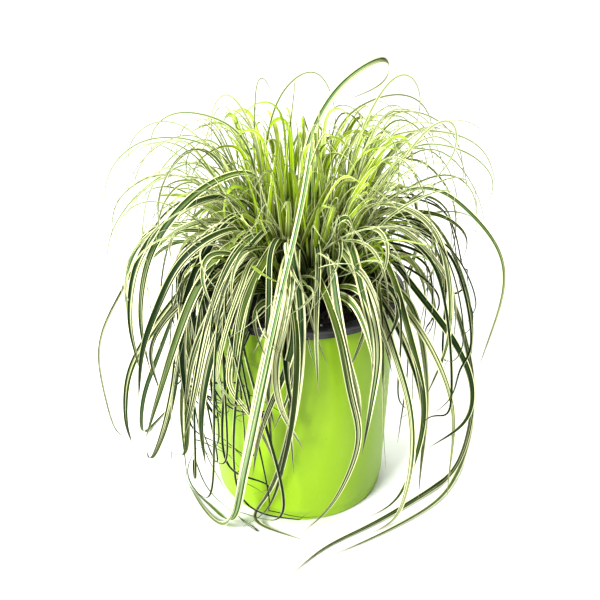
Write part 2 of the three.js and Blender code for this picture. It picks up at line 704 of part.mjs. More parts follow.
function pottedSedge() {
  const group = new THREE.Group();
  const cover = coverPot();
  const nursery = nurseryPot();
  const shoots = shootPlaces();
  const soil = soilBody(shoots);
  const blades = clearBlades(allBlades(shoots), shoots, [cover, nursery, soil].map(solidOf));
  group.add(named("cover_pot", cover, LIME_PLASTIC));
  group.add(named("nursery_pot", nursery, BLACK_PLASTIC));
  group.add(named("potting_soil", soil, POTTING_SOIL));
  shoots.forEach((shoot, i) => {
    const name = "shoot_" + String(i + 1).padStart(2, "0");
    group.add(named(name, shootGeometry(shoot, blades), GREEN_BLADE));
  });
  return group;
}

export default pottedSedge();
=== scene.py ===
"""A weeping variegated sedge in its pot: lime cover pot, black nursery pot, soil and leafy shoots.

Metres, +Z up. The origin is the centre of the cover pot's underside and -Y is the front.
"""

import math

import bpy
import numpy as np
from bpy.props import FloatProperty, FloatVectorProperty, IntProperty, PointerProperty
from bpy.types import Operator, Panel, PropertyGroup
from mathutils import Matrix, Vector, noise


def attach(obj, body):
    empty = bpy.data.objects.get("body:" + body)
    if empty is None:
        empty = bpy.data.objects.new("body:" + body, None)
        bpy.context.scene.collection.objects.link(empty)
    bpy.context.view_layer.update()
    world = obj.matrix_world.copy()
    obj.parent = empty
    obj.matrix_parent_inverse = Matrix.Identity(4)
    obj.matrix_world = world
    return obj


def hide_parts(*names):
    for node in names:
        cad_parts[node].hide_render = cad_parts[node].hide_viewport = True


bl_info = {
    "name": "Potted weeping sedge",
    "version": (1, 0, 0),
    "blender": (4, 5, 0),
    "location": "3D View > Sidebar > Sedge",
    "description": "Builds a weeping variegated sedge in its nursery pot and cover pot",
    "category": "Object",
}

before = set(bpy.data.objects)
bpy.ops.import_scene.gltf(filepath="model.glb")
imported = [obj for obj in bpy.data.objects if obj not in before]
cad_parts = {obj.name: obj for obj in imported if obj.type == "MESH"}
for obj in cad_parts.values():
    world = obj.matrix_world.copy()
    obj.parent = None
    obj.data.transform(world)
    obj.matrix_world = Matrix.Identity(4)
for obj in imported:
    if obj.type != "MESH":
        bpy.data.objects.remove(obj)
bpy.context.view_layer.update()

# ---- Shapes of the shoots, in millimetres and degrees ---------------------------------------------

MM = 0.001
SOIL_LEVEL = 170
RIM_HEIGHT = 186
LIP_RADIUS = 85
MOUTH_RADIUS = 77.2
TABLE_CLEARANCE = 1.4  # how high the middle lines of blades lie that rest along the table
POT_CLEARANCE = 3  # how far the middle lines keep from the soil and the lip

# One shoot in the middle, then two rings: how many, how far out, and the first one's heading
RINGS = [(1, 0, 0), (5, 15, 20), (9, 30, 8)]
ROOT_RISE = 6  # of a blade's root above the soil, and how far it is from its shoot's middle
ROOT_SPREAD = 2.2
SHEATH_FOOT_RADIUS = 5.4
SHEATH_TOP_RADIUS = 3.6
SHEATH_RISE = 16
SHEATH_DEPTH = 6  # in the soil

BLADE_STEPS = 40
SMOOTHINGS = 3
EASINGS = 7  # how often the drawn blades' lines are eased before that
# Shares of a blade's width at its root and its tip, how soon it opens, and how blunt it ends
ROOT_BREADTH = 0.5
TIP_BREADTH = 0.05
OPENING = 1.1
BLUNTNESS = 0.85
TAPER = (2.4, 4)  # how late a drawn blade and a leader narrow
LEADER_BREADTH = 1.35  # of the leaders' widths
LOOP_BREADTH = 0.95  # of the loops' widths
FALL = (0.8, 0.4)  # how far a drawn blade has run on and come down between its crest and its tip
DRIFT = (-20, 20)  # how far its heading turns from root to tip
TWIST = (-90, 90)  # how far its face turns
LEADER_TWIST = 100  # turns the faces of the leaders at the sides to the front
FACING = 60  # how far the faces of drawn blades at the sides are turned to the front at their roots
TRAIL = (20, 70)  # how far a drawn blade that reaches the table runs on along it, and how it turns
TRAIL_TURN = (-80, 80)

# A place on the way up as shares of the crest's reach and height, the crest's reach past its shoot and
# its height, how far the blade runs on, hooks back and falls, and its width
KINDS = {
    "spear": ((0.45, 0.6), (-2, 72), (256, 338), (10, 40), (0, 0.5), (0, 40), (4.2, 7)),
    "arch": ((0.35, 0.7), (36, 86), (226, 290), (30, 72), (0, 0.4), (50, 160), (4.2, 7)),
    "weeper": ((0.35, 0.7), (34, 60), (205, 238), (20, 62), (0, 0.3), (90, 235), (5, 7.4)),
    "sprout": ((0.4, 0.65), (0, 26), (206, 250), (6, 26), (0, 0.4), (2, 26), (3, 5)),
    "fine": ((0.5, 0.62), (-6, 84), (232, 346), (14, 44), (0, 0.4), (0, 60), (1.6, 3.4)),
    "thread": ((0.45, 0.7), (6, 100), (258, 352), (12, 56), (0, 0.8), (2, 110), (1.1, 2.4)),
    "arc": ((0.5, 0.75), (30, 92), (282, 352), (24, 60), (0, 0.5), (10, 120), (1.4, 2.8)),
}
LEAN = 0.3  # how much lower a crest is, as a share of its reach
FARTHEST = 148  # reach that a drawn blade doesn't run past
SIDE = 22  # how far out to a side a shoot stands that carries arcs
# How many of each kind the shoots of each ring carry, and how far their headings spread
LEAVES = [
    ({"spear": 12, "arch": 3, "weeper": 0, "sprout": 3}, 180),
    ({"spear": 9, "arch": 5, "weeper": 1, "sprout": 2}, 75),
    ({"spear": 6, "arch": 4, "weeper": 3, "sprout": 2}, 48),
]
# How many fine blades, and still finer ones, fill the shoots of each ring
FINE_LEAVES = {"fine": (12, 9, 7), "thread": (12, 11, 11)}
FINE_KINDS = ("fine", "thread", "arc")
ARCS = 12  # how many arching threads each of the shoots at the sides carries besides
# Drawn blades that come down this near the front run on and fall only a share of the way
FRONT = -90
FRONT_SPREAD = 60
FRONT_SHARE = 0.3
# Fellow blades that run beside a leader: their turn, reach, lift and breadth against it
FELLOW_TURN = (-11, 11)
FELLOW_REACH = (0.93, 1.08)
FELLOW_LIFT = (-24, 8)
FELLOW_BREADTH = (0.55, 0.95)
FELLOW_SHORT = 3  # a fellow ends fewer places before its leader
ALONE = 39  # how many leaders have no fellow; they come first
# Thin blades that hang over the lip and curl: how many, then the ranges of their headings, reaches,
# heights and turns
WISPS = [
    (24, (-170, -132), (90, 104), (110, 165), (-26, 26)),
    (12, (-158, -112), (90, 100), (40, 120), (-34, 34)),
    (5, (-140, -104), (90, 104), (12, 36), (-34, 34)),
    (14, (-50, 8), (104, 146), (100, 190), (-10, 10)),
]
WISP_WIDTH = (1.4, 2.8)
WISP_START = 60  # the reach of its first stop, and how much that is above its crest
WISP_RISE = 8
WISP_BEND = 86  # its crest is halfway from here to where it hangs
WISP_CREST = (196, 214)
WISP_CURLS = 4  # how many stops its curled end has, and how they sway and drop
WISP_SWAY = (-8, 8)
WISP_DROP = (-18, 13)
LOOPS = 15  # how many leaders are loops over the top; they come first
SILVERS = 2  # how many after them are silvery
# How yellow the blades of each kind are, from 0 for grown to 1 for young, how dark, and how broad their
# pale margins are
LOOKS = {
    "leader": ((0, 0.3), (0.25, 1), 1),
    "loop": ((0, 0.2), (0, 0.3), 1),
    "silver": ((0, 0), (0, 0.1), 1),
    "wisp": ((0, 0.1), (1, 1), 0.4),
    "spear": ((0.5, 1), (0, 1), 0.9),
    "arch": ((0, 0.5), (0.1, 0.9), 1),
    "weeper": ((0, 0.3), (0.25, 1), 1),
    "sprout": ((0.3, 0.9), (0, 0.7), 1),
    "fine": ((0.5, 1), (0.1, 0.9), 0.65),
    "thread": ((0, 0.4), (0, 0.4), 1),
    "arc": ((0, 0.2), (0, 0.5), 1),
}
# Grown blades on the shaded side are this much darker, and their margins narrower
SHADED = 190  # the heading whose grown blades are darkest
SHADE_TONE = 0.8
SHADE_MARGIN = 0.08
DRY_WISPS = 0.03  # the share of the wisps that are dry

# The blades that set the plant's outline: the width, then (heading, reach, height) stops. A stop of two
# numbers keeps the heading before it, and a LOW one rests along the table.
LOW = TABLE_CLEARANCE
LEADERS = [
    # Long loops over the top
    (4.6, (20, 4, 290), (30, 338), (66, 358), (42, 90, 334), (64, 76, 318)),
    (2.4, (0, 40, 290), (-5, 64, 345), (76, 352), (87, 335), (-8, 82, 305)),
    (2, (142, 33, 295), (118, 23, 337), (60, 23, 350), (38, 32, 328), (36, 34, 300)),
    (2, (157, 38, 305), (152, 33, 348), (135, 24, 325)),
    (2.4, (165, 35, 302), (57, 335), (69, 320), (70, 286)),
    (2.4, (170, 45, 304), (97, 319), (118, 300), (172, 112, 270)),
    (2.2, (30, 34, 308), (76, 328), (111, 322), (129, 295), (25, 109, 255)),
    (2, (20, 60, 307), (91, 318), (132, 297), (146, 262), (18, 143, 235)),
    (2.2, (0, 60, 300), (113, 307), (140, 292), (153, 258)),
    (2.2, (-15, 80, 300), (120, 301), (143, 281), (137, 255)),
    (2.6, (-20, 70, 278), (98, 320), (111, 325), (-22, 115, 303), (-24, 96, 274)),
    (2, (175, 60, 290), (114, 301), (148, 277), (160, 234)),
    (2.2, (170, 66, 301), (100, 287), (127, 246), (134, 190), (172, 128, 130)),
    (2.2, (185, 60, 268), (93, 277), (113, 277), (140, 257), (147, 225)),
    (2.2, (180, 70, 285), (117, 267), (150, 228), (158, 190)),
    (4.6, (-60, 16, 290), (-70, 30, 316), (-88, 65, 275), (-97, 100, 222), (-105, 112, 146),
     (-114, 110, 70), (-125, 108, LOW), (-142, 104, LOW), (-168, 106, LOW)),
    (6.8, (-98, 40, 226), (66, 234), (-99, 90, 212), (-106, 102, 146), (-115, 101, 70),
     (-126, 99, LOW), (-143, 96, LOW), (-160, 104, LOW)),
    # To the left
    (3, (170, 60, 255), (104, 246), (148, 180), (186, 110), (188, 62), (176, LOW), (158, 168, LOW)),
    (5, (188, 50, 225), (76, 205), (190, 110, 168), (143, 118), (152, 70), (184, 152, 30)),
    (5.4, (170, 60, 215), (88, 190), (131, 100), (149, 55), (165, 160, LOW), (145, 166, LOW)),
    (6.6, (198, 50, 222), (80, 207), (195, 98, 160), (190, 108, 100), (184, 124, 40), (180, 141, LOW),
     (172, 150, LOW)),
    (6.4, (206, 45, 226), (78, 211), (203, 95, 160), (190, 100, 60), (177, 112, LOW), (172, 132, LOW)),
    (4.8, (205, 34, 280), (56, 282), (89, 267), (119, 232), (132, 180), (204, 128, 130)),
    (5, (200, 38, 253), (60, 265), (87, 260), (123, 230), (138, 180), (198, 134, 120)),
    (5.6, (215, 40, 250), (62, 254), (88, 225), (104, 190), (109, 130), (214, 102, 80)),
    # To the right
    (3.2, (-10, 60, 255), (99, 271), (130, 252), (155, 222), (161, 195), (150, 120)),
    (4, (-25, 50, 255), (80, 262), (105, 250), (120, 215), (125, 160), (112, 105)),
    (3, (5, 60, 245), (100, 240), (132, 195), (150, 140), (152, 90)),
    (5, (-20, 40, 233), (60, 228), (100, 188), (130, 152), (146, 118), (-22, 146, 88), (-28, 120, 62)),
    (4.8, (-44, 50, 215), (-45, 72, 206), (100, 158), (118, 116), (122, 60), (-46, 110, LOW),
     (-56, 107, LOW)),
    (4.4, (-35, 45, 243), (73, 229), (100, 170), (118, 110), (112, 45), (-38, 98, LOW), (-50, 92, LOW)),
    (4.8, (-2, 60, 240), (100, 215), (138, 140), (-4, 152, 70), (-8, 140, LOW), (-27, 112, LOW),
     (-60, 100, LOW), (-80, 106, LOW), (-92, 130, LOW)),
    (4, (8, 65, 235), (110, 200), (150, 110), (7, 164, 40), (4, 158, LOW), (-20, 134, LOW),
     (-42, 116, LOW), (-66, 112, LOW), (-76, 115, LOW)),
    # Over the front of the lip, right of its middle
    (5.4, (-60, 40, 232), (62, 234), (-58, 88, 210), (-55, 98, 170), (-56, 96, 120), (-58, 92, 72)),
    (4.6, (-80, 40, 215), (70, 222), (-74, 93, 192), (-68, 97, 140), (-62, 96, 90), (-74, 92, 30),
     (-88, 88, LOW)),
    (3.4, (-76, 40, 240), (-78, 62, 237), (-83, 92, 190), (-82, 95, 142)),
    (5, (-55, 40, 243), (60, 241), (-60, 86, 215), (-57, 94, 181), (-55, 96, 136)),
    (2.6, (-28, 62, 216), (-44, 82, 197), (-51, 98, 151), (-52, 104, 99), (-49, 104, 58)),
    (4.6, (-71, 66, 230), (-73, 86, 209), (-70, 94, 173), (-63, 96, 129), (-61, 94, 89)),
    # Over the front of the lip, left of its middle
    (5.4, (-97, 40, 240), (-96, 70, 246), (-90, 92, 218), (98, 170), (-94, 93, 112), (-106, 85, 40),
     (-118, 88, LOW), (-90, 96, LOW)),
    (5, (-107, 40, 238), (-108, 68, 238), (-114, 92, 212), (-117, 99, 178), (-120, 99, 140)),
    (5, (-95, 60, 228), (90, 210), (-100, 100, 164), (-98, 97, 127), (-88, 90, 86)),
    (5.4, (235, 40, 222), (236, 60, 223), (88, 200), (232, 104, 165), (228, 112, 110), (226, 108, 60)),
    (4.6, (-92, 50, 236), (70, 234), (88, 212), (-93, 95, 181), (-97, 97, 156), (-103, 99, 129),
     (-108, 100, 100), (-112, 98, 62)),
    (4, (-97, 50, 238), (72, 234), (-94, 89, 212), (-95, 93, 136), (-93, 92, 65)),
    (3.6, (-114, 66, 229), (-115, 86, 207), (-118, 95, 183), (-121, 99, 156), (-122, 100, 141),
     (-117, 98, 128), (-111, 97, 116), (-106, 96, 98), (-100, 94, 66)),
    (5.6, (-131, 50, 226), (70, 225), (-132, 90, 202), (104, 171), (-136, 112, 124), (-141, 118, 83)),
    (5.2, (-138, 50, 236), (76, 233), (-140, 98, 208), (-138, 118, 180), (-142, 132, 134),
     (-152, 140, 78)),
    (4.8, (-140, 50, 242), (80, 245), (-145, 104, 228), (-143, 128, 198), (-144, 140, 170),
     (-146, 146, 125)),
]


def polar(heading, reach, height):
    """A point at a heading in degrees, a reach from the axis and a height."""
    turn = math.radians(heading)
    return np.array([reach * math.cos(turn), reach * math.sin(turn), height], float)


def seeded(seed):
    """A generator of numbers from 0 to 1, the same on every run."""
    state = seed

    def draw(least=0, most=1):
        nonlocal state
        state = state * 48271 % 2147483647
        return least + (most - least) * state / 2147483647

    return draw


def shoot_places():
    """The ring, heading and place of every shoot."""
    return [
        (ring, turn + 360 / count * i, polar(turn + 360 / count * i, reach, SOIL_LEVEL))
        for ring, (count, reach, turn) in enumerate(RINGS)
        for i in range(count)
    ]


def drawn_blade(place, kind, draw):
    """A blade of one kind, growing out of the shoot at a place."""
    ring, facing, at = place
    climb_to, reaches, heights, beyonds, hooks, drops, widths = KINDS[kind]
    spread = LEAVES[ring][1]
    heading = facing + draw(-spread, spread)
    drift = draw(*DRIFT)
    reach = RINGS[ring][1] + draw(*reaches)
    height = draw(*heights) - LEAN * reach
    beyond = min(draw(*beyonds), FARTHEST - reach)
    hook = draw(*hooks)
    drop = draw(*drops)
    if abs((heading + drift - FRONT + 180) % 360 - 180) < FRONT_SPREAD:
        beyond *= FRONT_SHARE
        drop *= FRONT_SHARE
    drop = min(drop, height - TABLE_CLEARANCE)
    width = draw(*widths)
    twist = draw(*TWIST)
    trail = draw(*TRAIL)
    trail_turn = draw(*TRAIL_TURN)
    root = at + polar(heading, ROOT_SPREAD, ROOT_RISE)
    crest = polar(heading + drift / 4, reach, height)
    tip = polar(heading + drift, reach + beyond * (1 - hook), height - drop)
    climb = root + (crest - root) * climb_to[0]
    climb[2] = root[2] + climb_to[1] * (height - root[2])
    fall = polar(heading + drift / 2, reach + FALL[0] * beyond, height - FALL[1] * drop)
    route = [root, climb, crest, fall, tip]
    if tip[2] <= TABLE_CLEARANCE:
        route.append(tip + polar(heading + drift + trail_turn, trail, 0))
    return {"heading": heading, "route": route, "width": width, "twist": twist, "kind": kind}


def leader_blades(places, width, stops):
    """A blade through given stops, with the number of the shoot that it grows from."""
    route = [polar(*stop) for stop in stops]
    off = [math.hypot(*(at - route[0])[:2]) for _, _, at in places]
    nearest = off.index(min(off))
    root = places[nearest][2] + polar(stops[0][0], ROOT_SPREAD, ROOT_RISE)
    twist = LEADER_TWIST * math.cos(math.radians(stops[0][0]))
    route = [root, *route]
    return nearest, {"heading": stops[0][0], "route": route, "width": width, "twist": twist, "kind": "leader"}


def with_headings(stops):
    """Stops of three numbers each, where one of two keeps the heading before it."""
    whole = []
    for stop in stops:
        whole.append(stop if len(stop) == 3 else (whole[-1][0], *stop))
    return whole


def fellow_stops(stops, draw):
    """The stops of a blade that runs beside a leader."""
    turn = draw(*FELLOW_TURN)
    scale = draw(*FELLOW_REACH)
    lift = draw(*FELLOW_LIFT)
    last = len(stops) - int(draw(0, FELLOW_SHORT))
    return [
        (heading + turn, reach * scale, height + lift if height > TABLE_CLEARANCE else height)
        for heading, reach, height in stops[:last]
    ]


def wisp_stops(headings, reaches, heights, turns, draw):
    """The stops of a thin blade that hangs over the lip and curls at its end."""
    heading = draw(*headings)
    reach = draw(*reaches)
    crest = draw(*WISP_CREST) + (reach - reaches[0])
    height = draw(*heights)
    stops = [(heading, WISP_START, crest + WISP_RISE), (heading, (WISP_BEND + reach) / 2, crest)]
    for _ in range(WISP_CURLS):
        heading += draw(*turns)
        stops.append((heading, reach + draw(*WISP_SWAY), height))
        height += draw(*WISP_DROP)
    return stops


def blades_of_shoots(seed):
    """The blades that each shoot carries: its leaders, their fellows, then the drawn ones."""
    places = shoot_places()
    draw = seeded(seed)
    shoots = [[] for _ in places]
    leaders = [(width, with_headings(stops)) for width, *stops in LEADERS]
    for number, (width, stops) in enumerate(leaders):
        kind = "loop" if number < LOOPS else "silver" if number < LOOPS + SILVERS else "leader"
        breadth = LOOP_BREADTH if 0 < number < LOOPS else LEADER_BREADTH
        shoot, blade = leader_blades(places, width * breadth, stops)
        shoots[shoot].append({**blade, "kind": kind})
    for width, stops in leaders[ALONE:]:
        beside = fellow_stops(stops, draw)
        breadth = draw(*FELLOW_BREADTH)
        shoot, blade = leader_blades(places, width * LEADER_BREADTH * breadth, beside)
        shoots[shoot].append(blade)
    hang = seeded(seed + 2)
    for count, *ranges in WISPS:
        for _ in range(count):
            shoot, blade = leader_blades(places, hang(*WISP_WIDTH), wisp_stops(*ranges, hang))
            shoots[shoot].append({**blade, "kind": "wisp"})
    for shoot, place in zip(shoots, places):
        for kind, count in LEAVES[place[0]][0].items():
            shoot.extend(drawn_blade(place, kind, draw) for _ in range(count))
    for own_seed, kind in enumerate(FINE_KINDS, seed + 3):
        fill = seeded(own_seed)
        for shoot, place in zip(shoots, places):
            at_side = abs(place[2][0]) > SIDE
            count = (ARCS if at_side else 0) if kind == "arc" else FINE_LEAVES[kind][place[0]]
            shoot.extend(drawn_blade(place, kind, fill) for _ in range(count))
    return shoots


def smooth_line(stops, steps):
    """Evenly spaced points on a smooth curve through the stops."""
    stops = np.array(stops)
    ends = np.array([2 * stops[0] - stops[1], *stops, 2 * stops[-1] - stops[-2]])
    spans = len(stops) - 1
    gaps = np.sum(np.diff(ends, axis=0) ** 2, axis=1) ** 0.25

    def at(shares):
        place = shares * spans
        first = np.minimum(place.astype(int), spans - 1)
        t = (place - first)[:, None]
        before, start, end, after = (ends[first + k] for k in range(4))
        gap0, gap1, gap2 = (gaps[first + k][:, None] for k in range(3))
        leave = (start - before) / gap0 - (end - before) / (gap0 + gap1) + (end - start) / gap1
        arrive = (end - start) / gap1 - (after - start) / (gap1 + gap2) + (after - end) / gap2
        leave, arrive = leave * gap1, arrive * gap1
        return (
            start
            + leave * t
            + (3 * (end - start) - 2 * leave - arrive) * t**2
            + (2 * (start - end) + leave + arrive) * t**3
        )

    marks = np.linspace(0, 1, 201)
    lengths = np.concatenate([[0], np.cumsum(np.linalg.norm(np.diff(at(marks), axis=0), axis=1))])
    return at(np.interp(np.linspace(0, 1, steps + 1) * lengths[-1], lengths, marks))


def keep_clear(point):
    """Moves a point of a blade off the table, the soil and the pot's lip."""
    reach = math.hypot(point[0], point[1])
    lip_reach = LIP_RADIUS + POT_CLEARANCE
    lip_height = RIM_HEIGHT + POT_CLEARANCE
    if reach < lip_reach and point[2] < lip_height:
        if reach < MOUTH_RADIUS - 3 * POT_CLEARANCE:
            point[2] = max(point[2], SOIL_LEVEL + POT_CLEARANCE)
        elif lip_height - point[2] < lip_reach - reach:
            point[2] = lip_height
        else:
            point[:2] *= lip_reach / reach
    point[2] = max(point[2], TABLE_CLEARANCE)


def ease(points, times):
    """Evens out the bends of a line, over and over."""
    for _ in range(times):
        points[1:-1] = points[:-2] / 4 + points[1:-1] / 2 + points[2:] / 4


def blade_line(blade):
    """The middle line of a blade, with twice the steps of its solid."""
    points = smooth_line(blade["route"], BLADE_STEPS)
    if blade["kind"] in KINDS:
        ease(points, EASINGS)
    for point in points:
        keep_clear(point)
    ease(points, SMOOTHINGS)
    wide = np.concatenate([[2 * points[0] - points[1]], points, [2 * points[-1] - points[-2]]])
    fine = np.empty((2 * len(points) - 1, 3))
    fine[::2] = points
    fine[1::2] = (9 * (wide[1:-2] + wide[2:-1]) - wide[:-3] - wide[3:]) / 16
    fine[:, 2] = np.maximum(fine[:, 2], TABLE_CLEARANCE)
    return fine


# ---- Meshes ---------------------------------------------------------------------------------------

LONGEST_CUT = 0.45  # the share of a side that a rounded corner takes at most


def mesh_object(name, points, faces, material, sharp_angle=50):
    """A smooth-shaded object from points in metres and faces with three or four corners each."""
    mesh = bpy.data.meshes.new(name)
    mesh.from_pydata([tuple(p) for p in points], [], [tuple(f) for f in faces])
    if mesh.validate():
        raise RuntimeError(f"{name} has faces that can't be made")
    mesh.materials.append(material)
    mesh.polygons.foreach_set("use_smooth", [True] * len(mesh.polygons))
    mesh.set_sharp_from_angle(angle=math.radians(sharp_angle))
    piece = bpy.data.objects.new(name, mesh)
    bpy.context.scene.collection.objects.link(piece)
    return piece


def point_values(piece, name, values):
    """Keeps a number for each point of a piece, for its material to read."""
    piece.data.attributes.new(name, "FLOAT", "POINT").data.foreach_set("value", np.array(values, np.float32))


def rounded(outline, radius, steps=4):
    """An outline of (radius, height) pairs with its corners rounded."""
    corners = [np.array(corner, float) for corner in outline]
    points = [corners[0]]
    for before, here, after in zip(corners, corners[1:], corners[2:]):
        back, on = before - here, after - here
        cut = min(radius, LONGEST_CUT * np.linalg.norm(back), LONGEST_CUT * np.linalg.norm(on))
        start = here + back / np.linalg.norm(back) * cut
        end = here + on / np.linalg.norm(on) * cut
        for i in range(steps + 1):
            t = i / steps
            points.append((1 - t) ** 2 * start + 2 * t * (1 - t) * here + t * t * end)
    return points + [corners[-1]]


def ring(reach, height, sides):
    """Points round the axis at a reach and a height, which may be a formula of their places."""
    spots = [polar(360 / sides * k, reach, 0) for k in range(sides)]
    return [(x, y, height(x, y) if callable(height) else height) for x, y, _ in spots]


def body_of_rings(rings, start, end):
    """The points and faces of a closed body of rings, with a point on the axis at each end."""
    sides = len(rings[0])
    points = [start, *sum(rings, []), end]
    before_last_ring = (len(rings) - 1) * sides
    faces = []
    for k in range(1, sides + 1):
        n = k % sides + 1
        faces.append((0, n, k))
        for a in range(0, before_last_ring, sides):
            b = a + sides
            faces.append((a + n, b + n, b + k, a + k))
        faces.append((len(points) - 1, before_last_ring + k, before_last_ring + n))
    return points, faces


def turned(name, outline, sides, material, sharp_angle=50):
    """A turned object from an outline that starts and ends on the axis."""
    rings = [ring(reach, height, sides) for reach, height in outline if reach > 0]
    points, faces = body_of_rings(rings, (0, 0, outline[0][1]), (0, 0, outline[-1][1]))
    return mesh_object(name, points, faces, material, sharp_angle)


def finish_piece(piece, slot, *nodes):
    """Lets a piece ride with the model and stand for its solids."""
    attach(piece, "root")
    if nodes:
        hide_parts(*nodes)


# ---- Materials ------------------------------------------------------------------------------------


class Value:
    """A shader socket that can be used in sums."""

    def __init__(self, finish, socket):
        self.finish = finish
        self.socket = socket

    def maths(self, operation, *values):
        return self.finish.node("ShaderNodeMath", {"operation": operation}, dict(enumerate(values)))

    def __add__(self, other):
        return self.maths("ADD", self, other)

    def __sub__(self, other):
        return self.maths("SUBTRACT", self, other)

    def __rsub__(self, other):
        return self.maths("SUBTRACT", other, self)

    def __mul__(self, other):
        return self.maths("MULTIPLY", self, other)

    def __abs__(self):
        return self.maths("ABSOLUTE", self)

    __radd__ = __add__
    __rmul__ = __mul__

    def over(self, low, high):
        """0 below low, 1 above high and smooth between; the other way round if high is below low."""
        sockets = {0: self, 1: min(low, high), 2: max(low, high), 3: 0, 4: 1}
        step = self.finish.node("ShaderNodeMapRange", {"interpolation_type": "SMOOTHSTEP"}, sockets)
        return 1 - step if high < low else step


class Finish:
    """A material whose nodes are being wired up."""

    def __init__(self, name):
        self.material = bpy.data.materials.new(name)
        self.material.use_nodes = True
        self.tree = self.material.node_tree
        self.shader = self.tree.nodes["Principled BSDF"]

    def node(self, kind, settings=None, inputs=None, output=0):
        """Adds a node: its settings first, then the values or links of its sockets."""
        node = self.tree.nodes.new(kind)
        for name, value in (settings or {}).items():
            setattr(node, name, value)
        for key, value in (inputs or {}).items():
            self.plug(node.inputs[key], value)
        return Value(self, node.outputs[output])

    def plug(self, socket, value):
        if isinstance(value, Value):
            self.tree.links.new(value.socket, socket)
        elif hasattr(value, "__len__") and len(value) == 3 and socket.type == "RGBA":
            socket.default_value = (*value, 1)
        else:
            socket.default_value = value

    def set(self, **sockets):
        for name, value in sockets.items():
            self.plug(self.shader.inputs[name.replace("_", " ")], value)

    def mix(self, factor, start, end):
        """A colour between two, by a factor."""
        return self.node("ShaderNodeMix", {"data_type": "RGBA"}, {0: factor, 6: start, 7: end}, output=2)

    def attribute(self, name):
        return self.node("ShaderNodeAttribute", {"attribute_name": name}, output="Fac")

    def place(self):
        return self.node("ShaderNodeTexCoord", output="Object")

    def vector(self, x, y, z):
        return self.node("ShaderNodeCombineXYZ", None, {0: x, 1: y, 2: z})

    def scaled(self, place, scales):
        return self.node("ShaderNodeVectorMath", {"operation": "MULTIPLY"}, {0: place, 1: scales})

    def noise(self, place, scale, detail=2, roughness=0.5):
        sockets = {"Vector": place, "Scale": scale, "Detail": detail, "Roughness": roughness}
        return self.node("ShaderNodeTexNoise", {"noise_dimensions": "3D"}, sockets, output="Fac")

    def bump(self, height, distance, strength=1):
        sockets = {"Strength": strength, "Distance": distance, "Height": height}
        self.set(Normal=self.node("ShaderNodeBump", None, sockets))


def darker(colour, share):
    return [share * part for part in colour]


def lime_plastic(colour, shade):
    """Smooth moulded plastic with faint scuffs."""
    finish = Finish("lime_plastic")
    place = finish.place()
    cloud = finish.noise(place, 22, 3)
    scuffs = finish.noise(finish.scaled(place, (1, 1, 0.12)), 900, 2, 0.6).over(0.66, 0.78)
    specks = finish.noise(place, 420, 1).over(0.74, 0.8)
    base = finish.mix(cloud.over(0.35, 0.75) * 0.35, colour, shade)
    base = finish.mix(specks * 0.35, base, darker(shade, 0.5))
    finish.set(
        Base_Color=finish.mix(scuffs * 0.12, base, (0.8, 1, 0.45)),
        Roughness=0.34 + cloud * 0.12 + scuffs * 0.2,
        Specular_IOR_Level=0.3,
    )
    finish.bump(finish.noise(place, 700, 2), 0.00006, 0.35)
    return finish.material


def black_plastic(colour, dust):
    """Thin black plastic, scuffed grey and dusty."""
    finish = Finish("black_plastic")
    place = finish.place()
    cloud = finish.noise(place, 60, 4, 0.6)
    scuffs = finish.noise(place, 1100, 3, 0.65).over(0.62, 0.8)
    finish.set(
        Base_Color=finish.mix(cloud.over(0.45, 0.8) * 0.35 + scuffs * 0.3, colour, dust),
        Roughness=0.3 + cloud * 0.2 + scuffs * 0.2,
    )
    finish.bump(finish.noise(place, 500, 3), 0.0001, 0.5)
    return finish.material


def potting_soil(colour, light_colour):
    """Damp peat with brown fibres and darker lumps."""
    finish = Finish("potting_soil")
    place = finish.place()
    lumps = finish.noise(place, 260, 5, 0.65)
    fibres = finish.noise(place, 900, 3, 0.7)
    tint = finish.attribute("tint")
    finish.set(
        Base_Color=finish.mix(lumps.over(0.45, 0.75) * 0.45 + tint * 0.55, colour, light_colour),
        Roughness=0.72 + fibres * 0.25,
    )
    finish.bump(lumps + fibres * 0.4, 0.0012, 0.8)
    return finish.material


def light_grains(colour):
    """Porous white grains."""
    finish = Finish("light_grains")
    place = finish.place()
    pores = finish.noise(place, 1500, 3, 0.6)
    finish.set(
        Base_Color=finish.mix(pores.over(0.5, 0.7), colour, darker(colour, 0.55)), Roughness=0.8
    )
    finish.bump(pores, 0.0003, 0.7)
    return finish.material


